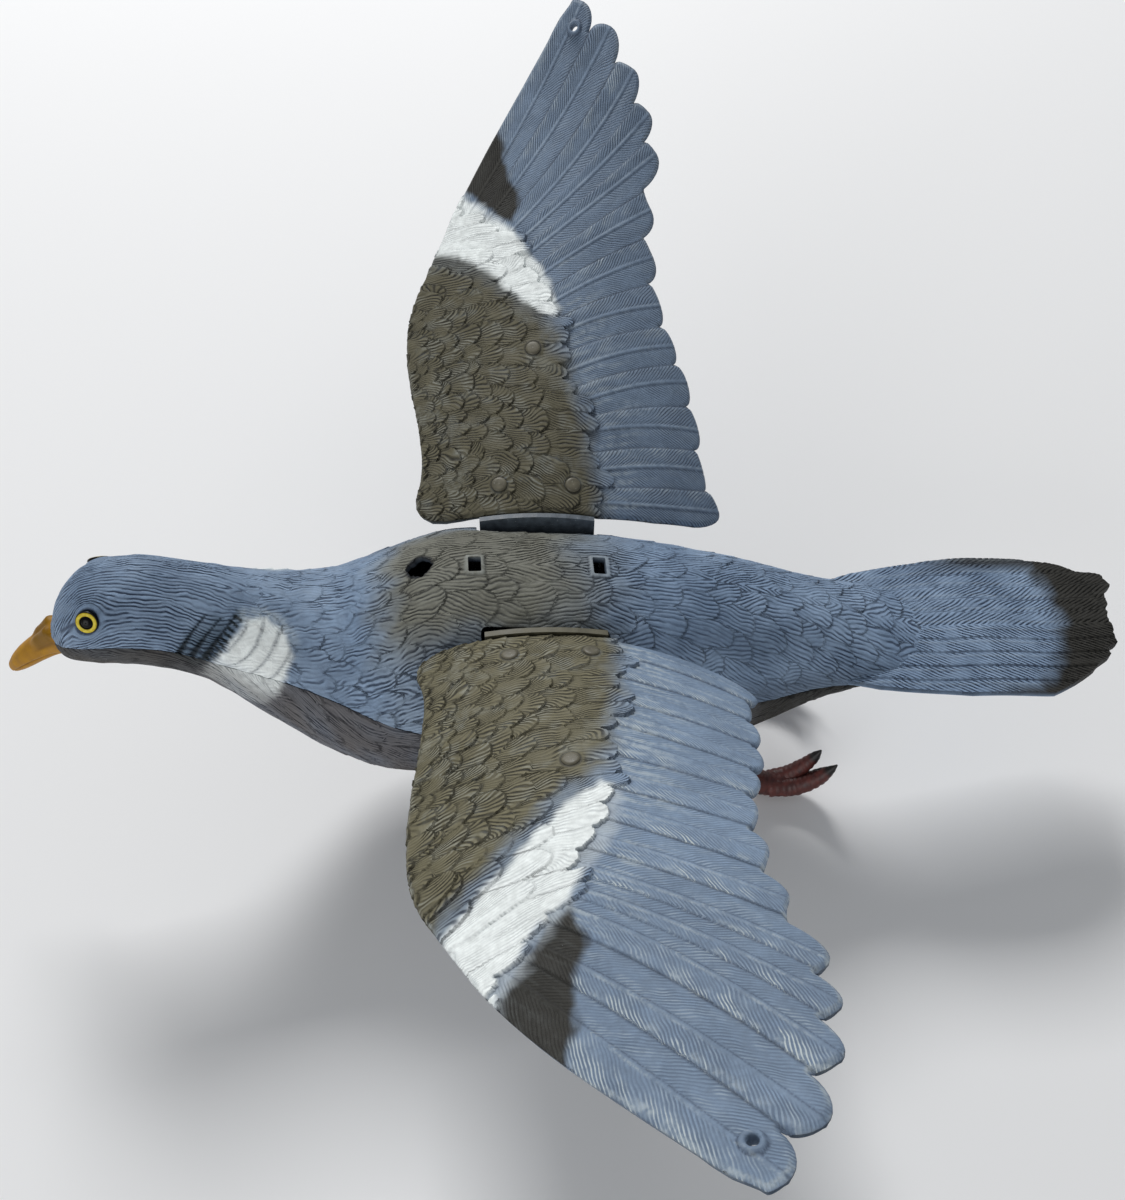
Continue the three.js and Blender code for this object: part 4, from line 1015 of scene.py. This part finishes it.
def covert_feathers(x, out):
    """Where the coverts lie, their lift and marks, and how dark the painted shade on the step down from them
    is.
    """
    ahead = covert_edge_at(out) - x
    slope = np.minimum((covert_edge_at(out + 1) - covert_edge_at(out - 1)) / 2, 0)
    q = ahead / np.sqrt(1 + 0.6 * slope ** 2)
    m = out + 0.22 * np.abs(slope) * x
    rows = [(0, 6.6), (14.5, 9.2), (24, 9), (32, 8.2), (39, 7.4), (45.5, 6.6), (51, 6), (56.5, 5.4),
            (61.5, 5), (66, 4.6), (70, 4.4), (74, 4.2)]
    warp, drift = 1.6 * noise(q / 10, m / 9, 66), 2.0 * noise(q / 13, m / 12, 67)
    scales = scale_rows(q + warp, m + drift, rows, 68, 0.38, 0.3)
    sway = 1.15 * noise(q / 6, m / 5, 69) + 0.4 * noise(q / 2.6, m / 3, 70)
    spreading = scales["offset"] * scales["width"] * (1.55 - 0.8 * scales["back"])
    phase = (spreading + 0.55 * scales["luck"] * q + sway) / 1.3
    depth = 0.3 + 0.7 * patchy(-0.5, 0.3, q / 4, m / 3, 71)
    heavy = 0.15 + 0.85 * patchy(-0.3, 0.6, q / 9, m / 7, 72)
    # Painted shade behind the edge of the scale in front and along the sides of each scale.
    crease = fading(scales["to_cover"], 0.5) * heavy
    crease = np.maximum(crease, 0.5 * bell(scales["to_side"], 0.35) * heavy * scales["back"])
    lift = 0.75 + 0.6 * scales["back"] ** 1.5 - 0.16 * barbs(phase) * depth - 0.2 * crease
    lift += 0.22 * noise(q / 4, m / 4, 73)
    marks = {"barb": phase, "barb_depth": depth, "crease": crease,
             "brush": 0.12 * patchy(0.2, 0.8, q / 5, m / 4, 74),
             "stroke": 0.22 * patchy(0.0, 0.7, q / 5, m / 4, 81)}
    return ~scales["free"], lift, marks, fading(scales["to_cover"], 0.7) * heavy


def wing_look(x, out, brushing, band_shift, cut):
    """Lift above the wing's surface, and marks. The brushing, the place of the white band and the depth of
    the barbs differ between the wings."""
    flight, marks = flight_feathers(x, out, cut)
    covert, covert_lift, covert_marks, step_shade = covert_feathers(x, out)
    # Painted shade on the flight feathers just behind the coverts' step.
    raise_mark(marks, "crease", 0.8 * step_shade)
    marks["brush"] *= brushing
    marks["stroke"] *= brushing
    marks = {name: np.where(covert, covert_marks[name], flat) for name, flat in marks.items()}
    lift = np.where(covert, covert_lift, flight)
    wobble = 1.6 * noise(x / 6, out / 6, 75) + 0.8 * noise(x / 2, out / 2, 76)
    white_area = [(-21.5, 170), (-14.8, 158), (-8, 149.3), (-1.5, 143.4), (4.4, 134.1), (9.2, 124.5),
                  (14.8, 109), (14.5, 103), (10.5, 101.4), (5.5, 104), (-1.5, 109.5), (-13.5, 122),
                  (-25, 134), (-38, 146), (-46, 152), (-36, 172)]
    shifted = out - band_shift * bell(x + 20, 24)
    in_white = inside_distance(x, shifted, white_area) - 0.2 * band_shift
    soft = smooth(-1.6, 2.2, in_white + 0.8 * wobble)
    past_coverts = 0.95 * soft if band_shift else 0.3 * smooth(-3.5, 1, in_white + wobble)
    white = np.where(covert, soft, past_coverts)
    haze = smooth(-8, -1.5, in_white + wobble) * (out > 95) * (0.4 if band_shift else 1.0)
    ahead = covert_edge_at(out) - x
    olive = smooth(-4, 10, ahead + 1.6 * wobble)
    olive *= (1 - 0.65 * haze) * (1 - smooth(97, 108, out) * smooth(0, -6, ahead))
    black_area = [(-26, 172), (-15, 157.5), (-8.5, 149.5), (-2, 144), (0, 149), (0.6, 157.6), (-2, 164),
                  (-3.0, 172), (-2.8, 181.4), (-6.5, 190), (-14, 192), (-30, 178)]
    black = smooth(-1.8, 1.8, inside_distance(x, shifted, black_area) + 0.7 * wobble) * (1 - white)
    marks["olive"], marks["white"], marks["dark"] = olive, white, black
    for name in ("brush", "stroke"):
        marks[name] *= (1 - 0.92 * black) * (1 - white)
    marks["barb_depth"] *= 1 - 0.72 * white
    marks["crease"] *= 1 - 0.55 * white
    for rivet_x, rivet_out in RIVETS:
        near = np.hypot(x - rivet_x, out - rivet_out)
        seat = smooth(4.6, 3.3, near)
        lift = lift * (1 - seat) + seat
        marks["barb_depth"] *= 1 - seat
        # Painted shade round each rivet head.
        raise_mark(marks, "crease", 0.8 * smooth(3.7, 3.1, near), seat)
    near = np.hypot(x - EYELET[0], out - EYELET[1])
    rim = smooth(EYELET_RIM + 0.5, EYELET_RIM - 0.2, near)
    lift = lift * (1 - rim) + rim * (0.75 + 0.5 * bell(near - 2.1, 0.5))
    marks["barb_depth"] *= 1 - rim
    # Painted shade just outside the eyelet's raised rim.
    raise_mark(marks, "crease", 0.7 * bell(near - EYELET_RIM - 0.3, 0.3), rim)
    return lift, marks


def edge_gap(x, out, loop):
    """Distance from points to an outline's points."""
    tree = kdtree.KDTree(len(loop))
    for i, (a, b) in enumerate(loop):
        tree.insert((a, b, 0), i)
    tree.balance()
    return np.array([tree.find((a, b, 0))[2] for a, b in zip(x, out)])


def wing(side, material):
    hand = "right" if side > 0 else "left"
    outline = wing_outline(0.45)
    loops = [outline, ring(*EYELET, EYELET_HOLE, 0.4)]

    def top(x, out):
        lift, marks = wing_look(x, out, *WING_PAINT[hand])
        gap = edge_gap(x, out, outline)
        lift = lift - 0.9 * smooth(1.3, 0, gap)
        # Painted shade along the very edge of the wing, where it rounds off.
        raise_mark(marks, "crease", 0.5 * smooth(0.4, 0.1, gap))
        rim = smooth(1.5, 0.9, gap) * smooth(0.3, 0.6, gap) * patchy(-0.5, 0.3, x / 5, out / 5, 82)
        clear = (1 - marks["dark"]) * smooth(70, 150, out) * (0.3 if side > 0 else 0.6)
        raise_mark(marks, "brush", rim * clear)
        # Painted shade darkens the whole right wing, more over its olive coverts; the left wing only darkens
        # towards its tip.
        shade_and_tip_darkening = 0.22 + 0.15 * marks["olive"] if side > 0 else 0.17 * smooth(115, 165, out)
        raise_mark(marks, "dark", shade_and_tip_darkening * (1 - marks["white"]))
        return moved_out(wing_surface, x, out, lift) * [1, side, 1], marks

    def bottom(x, out):
        _, across, run, sideways, _ = feather_place(x, out)
        vane = np.clip(across, 0, 1)
        ahead = covert_edge_at(out) - x
        flight = smooth(4, -4, ahead)
        root = smooth(46, 30, out) * smooth(-18, -40, x)
        thick = WING_THICK + 1.6 * root - 0.5 * smooth(150, 215, out)
        lift = 0.9 * smooth(1.3, 0, edge_gap(x, out, outline)) - thick
        lift -= flight * (0.3 * bell(sideways, 0.7) + 0.35 * vane)
        # Painted shade at each feather's step underneath.
        marks = {"olive": 0.35 * smooth(-6, 6, ahead), "barb": (run - 1.2 * np.abs(sideways)) / 2.2,
                 "barb_depth": 0.45 * flight, "crease": 0.5 * flight * fading(vane * FEATHER_WIDTH, 0.8),
                 "dark": np.full(len(x), 0.22)}
        return moved_out(wing_surface, x, out, lift) * [1, side, 1], marks

    points, faces, marks = closed_sheet(loops, top, bottom, 0.5, 1.3)
    plate = (points, faces[:, ::side], marks)
    make_piece(f"{hand}_wing_feathered", plate, f"{hand}_wing", material, f"{hand}_wing", 60)


def wing_rivets(side, material):
    hand = "right" if side > 0 else "left"
    head, rise, d = RIVET_HEAD, 1.75, 0.5
    profile = [(0, -5.4), (1.9, -5.4), (2.4, -5.1), (2.4, -4.6), (1.4, -4.55), (1.4, 0.8),
               (head - 0.15, 0.85), (head, 1.05), (head - 0.08, 1.3), (head - 0.35, rise - 0.18),
               (head - 0.9, rise - 0.05), (head * 0.45, rise), (0.3, rise + 0.02), (0, rise + 0.02)]
    for i, (x, out) in enumerate(RIVETS):
        place = np.array([x, out, wing_height(x, out)])
        slope_x = (wing_height(x + d, out) - wing_height(x - d, out)) / (2 * d)
        slope_y = (wing_height(x, out + d) - wing_height(x, out - d)) / (2 * d)
        part = placed(turned(profile, 36), place * [1, side, 1], (-slope_x, -slope_y * side, 1))
        make_piece(f"{hand}_rivet_{i + 1}", part, f"{hand}_wing", material,
                   f"{hand}_wing_rivet_{i + 1}", 40)


# ---------------------------------------------------------------- beak, eyes and legs


def beak_shape():
    base, tip = np.array([-160.0, 0, 73.6]), np.array([-195.0, 0, 51.2])
    sections = along([[0, 6.2, 7.0], [0.12, 7.6, 8.6], [0.25, 7.3, 8.0], [0.4, 5.9, 6.2], [0.6, 4.9, 5.4],
                      [0.78, 4.0, 4.6], [0.9, 2.9, 3.4], [0.97, 1.6, 2.0], [1, 0.3, 0.4]])
    forward = (tip - base) / np.linalg.norm(tip - base)
    up = np.array([forward[2], 0, -forward[0]])
    angle = circle(72)
    sideways, height = np.cos(angle), np.sin(angle)
    rings, mouth, cere = [], [], []
    for t in np.concatenate([np.linspace(0, 0.9, 66), np.linspace(0.91, 1, 14)]):
        wide, tall = (float(v[0]) for v in sections([t]))
        centre = base * (1 - t) + tip * t + up * 2.4 * math.sin(math.pi * t)
        level = -0.1 - 0.1 * math.sin(5 * t)
        line = bell(height - level, 0.1) * smooth(0.97, 0.9, t)
        bump = smooth(0.22, 0.29, t) * smooth(0.56, 0.43, t)
        knob = bump * bell(np.abs(sideways) - 0.38, 0.34) * smooth(0.15, 0.5, height)
        slit = bump * bell(height - 0.55, 0.07)
        out = (1 - 0.2 * line + 0.27 * knob - 0.07 * slit) * np.where(height < level, 0.86, 1.0)
        rings.append(centre + np.outer(sideways * wide * out, [0, 1, 0]) + np.outer(height * tall * out, up))
        # The crease mark holds painted shade along the mouth line and in the slit.
        mouth.append(np.maximum(line, 0.6 * slit))
        cere.append(bump * smooth(0.3, 0.7, height))
    points, faces, _ = loft(rings)
    ends = [0, 0]
    return points, faces, {"crease": np.concatenate(mouth + [ends]), "cere": np.concatenate(cere + [ends])}


def eyes(material):
    profile = [(0, -3), (3.0, -3), (3.9, 0.0), (4.05, 0.5), (3.9, 0.95), (3.5, 1.25), (3.0, 1.36),
               (2.5, 1.3), (2.15, 1.14), (2.05, 1.05), (1.8, 1.25), (1.3, 1.5), (0.7, 1.64), (0, 1.68)]
    fine = [profile[0]]
    for a, b in zip(profile, profile[1:]):
        fine += [(a[0] + (b[0] - a[0]) * t, a[1] + (b[1] - a[1]) * t) for t in (0.5, 1)]
    for side, hand in ((1, "right"), (-1, "left")):
        part = turned(fine, 48)
        part[2]["radius"] = np.hypot(*part[0].T[:2])
        direction = np.array([-0.12, 0.85 * side, 0.52])
        place = np.array(EYE) * [1, side, 1] + direction * 0.25
        make_piece(f"{hand}_eye_glossy", placed(part, place, direction), "body", material,
                   f"{hand}_eye", 70)


def limb(stations):
    """A tapering limb through [x, y, z, radius] points with scaly rings."""
    table = np.array(stations, float)
    run = np.concatenate([[0], np.cumsum(np.linalg.norm(np.diff(table[:, :3], axis=0), axis=1))])
    fine = np.linspace(0, run[-1], 14 * (len(table) - 1) + 1)
    x, y, z, radius = along(np.c_[run, table])(fine)
    spine = np.stack([x, y, z], -1)
    around = 28
    angle = circle(around)
    rings = []
    for i in range(len(fine)):
        d = spine[min(i + 1, len(fine) - 1)] - spine[max(i - 1, 0)]
        d /= np.linalg.norm(d)
        a = np.cross(d, [0, 1, 0])
        a /= np.linalg.norm(a)
        b = np.cross(d, a)
        scute = 1 + 0.07 * (abs(math.sin(fine[i] * math.pi / 2.6)) - 0.5)
        knots = 1 + 0.05 * noise(np.cos(angle) * 1.6 + 5, np.full(around, fine[i] / 1.6), 90)
        wide = (radius[i] * scute * knots)[:, None]
        rings.append(spine[i] + (np.outer(np.cos(angle), a) + np.outer(np.sin(angle), b)) * wide)
    return loft(rings)


def legs(material):
    shank = [[56, 20, 16, 4.2], [68, 22, -0.5, 4.3], [80, 23.6, -14, 4.4], [90, 24, -22.6, 5.0],
             [98, 24, -23.2, 4.8], [103, 24, -21.5, 3.6]]
    toes = [
        [[92, 22.3, -23.5, 3.8], [102, 21.8, -19.5, 3.6], [108, 21.2, -13, 2.7], [110.8, 20.9, -8, 1.6],
         [112, 20.8, -5.2, 0.35]],
        [[92, 25.8, -23.5, 4.0], [104, 27, -21, 3.9], [111.5, 27.8, -14.5, 3.0], [115, 28, -9, 1.8],
         [117, 28.1, -5.2, 0.35]],
        [[92, 24, -25.2, 3.4], [103, 24.5, -24, 3.3], [109.5, 24.5, -19.8, 2.6], [113, 24.5, -15.5, 1.6],
         [115, 24.5, -12.4, 0.35]],
    ]
    for side, hand in ((1, "right"), (-1, "left")):
        parts = []
        for stations in [shank, *toes]:
            points, faces, _ = limb(stations)
            gap = np.linalg.norm(points - np.array(stations[-1][:3]), axis=1)
            claw = smooth(7.5, 4.5, gap) * (stations is not shank)
            parts.append((points * [1, side, 1], faces[:, ::-side], {"claw": claw}))
        make_piece(f"{hand}_leg_scaly", joined(*parts), "body", material, f"{hand}_leg", 60)


# ---------------------------------------------------------------- carried-over CAD nodes


def finish_nodes():
    """Materials of the CAD nodes that stay."""
    by_slot = {
        "steel": plain_paint("ground_steel", (150, 153, 158), (186, 188, 190), 0.3, 500, 1.0),
        "zinc": plain_paint("zinc_plate", (170, 170, 160), (200, 200, 192), 0.36, 400, 1.0),
        "black_plastic": plain_paint("black_plastic", (22, 23, 25), (34, 35, 38), 0.5, 260),
        "white_plastic": plain_paint("white_acetal", (206, 205, 196), (224, 224, 216), 0.4, 200),
        "brass": plain_paint("machined_brass", (176, 140, 62), (206, 172, 88), 0.3, 500, 1.0),
        "motor_case": plain_paint("drawn_can", (150, 150, 150), (178, 178, 176), 0.32, 350, 1.0),
        "cell": plain_paint("cell_wrap", (28, 74, 44), (38, 92, 56), 0.3, 220, coat=0.3),
        "bracket": plain_paint("bracket_paint", (62, 70, 78), (88, 98, 108), 0.5, 350, worn=(150, 156, 158)),
    }
    near_bracket = plain_paint("bracket_overspray", (78, 75, 58), (104, 100, 82), 0.55, 350)
    slots = {part["node"]: part["material_slot"] for part in frame["record"]["subparts"]}
    for name, piece in frame["nodes"].items():
        if piece.hide_render:
            continue
        material = near_bracket if name == "left_wing_bracket" else by_slot[slots[name]]
        piece.data.materials.clear()
        piece.data.materials.append(material)
        bevel = piece.modifiers.new("soft_edges", "BEVEL")
        bevel.width = 0.35 * MM
        bevel.segments = 2
        bevel.limit_method = "ANGLE"
        bevel.angle_limit = math.radians(40)


# ---------------------------------------------------------------- stage


def stage():
    scene = bpy.context.scene
    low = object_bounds()[0].z
    bpy.ops.mesh.primitive_plane_add(size=8, location=(0, 0, low - 0.001))
    floor = bpy.context.object
    floor.name = "floor"
    grey = (0.86, 0.86, 0.86, 1)
    floor.data.materials.append(Paint("pale_floor").finished(Base_Color=grey, Roughness=0.9))
    floor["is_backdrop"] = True
    world = bpy.data.worlds.new("studio")
    world.use_nodes = True
    sky = world.node_tree.nodes["Background"]
    sky.inputs["Color"].default_value = (0.93, 0.96, 1, 1)
    sky.inputs["Strength"].default_value = 0.3
    scene.world = world
    scene.view_settings.view_transform = "Standard"
    lamps = [("key", (-0.3, 1.95, 1.9), 0.8, 53), ("fill", (-0.9, -1.3, 0.5), 1.0, 10)]
    for name, place, size, power in lamps:
        data = bpy.data.lights.new(name, "AREA")
        data.size = size
        data.energy = power
        lamp = bpy.data.objects.new(name, data)
        lamp.location = place
        lamp.rotation_euler = (Vector((0, 0, 0.06)) - lamp.location).to_track_quat("-Z", "Y").to_euler()
        scene.collection.objects.link(lamp)
    camera = bpy.data.cameras.new("camera")
    camera.sensor_width = 36
    camera.lens = 38.35
    camera.clip_start = 0.02
    view = bpy.data.objects.new("camera", camera)
    right = Vector((0.99714311, -0.07459649, 0.01187321))
    up = Vector((0.05090143, 0.77973319, 0.62403942))
    turn = Matrix((right, up, right.cross(up))).transposed().to_4x4()
    view.matrix_world = Matrix.Translation(Vector((-18.28, -287.35, 436.10)) * MM) @ turn
    scene.collection.objects.link(view)
    scene.camera = view


shell_paint = plumage("shell_plumage")
wing_paint = plumage("wing_plumage", 0.8)
rivet_paint = plain_paint("rivet_paint", (84, 80, 66), (104, 99, 82), 0.5, 400, worn=(150, 150, 140))
upper_shell(shell_paint)
lower_shell(shell_paint)
battery_cover(shell_paint)
for wing_side in (1, -1):
    wing(wing_side, wing_paint)
    wing_rivets(wing_side, rivet_paint)
make_piece("beak_painted", beak_shape(), "body", beak_paint(), "beak", 60)
eyes(eye_gloss())
legs(plain_paint("leg_skin", (58, 26, 24), (98, 46, 40), 0.5, 330, bump=0.0003, worn=(26, 13, 13),
                 claw=(18, 15, 15)))
finish_nodes()
stage()
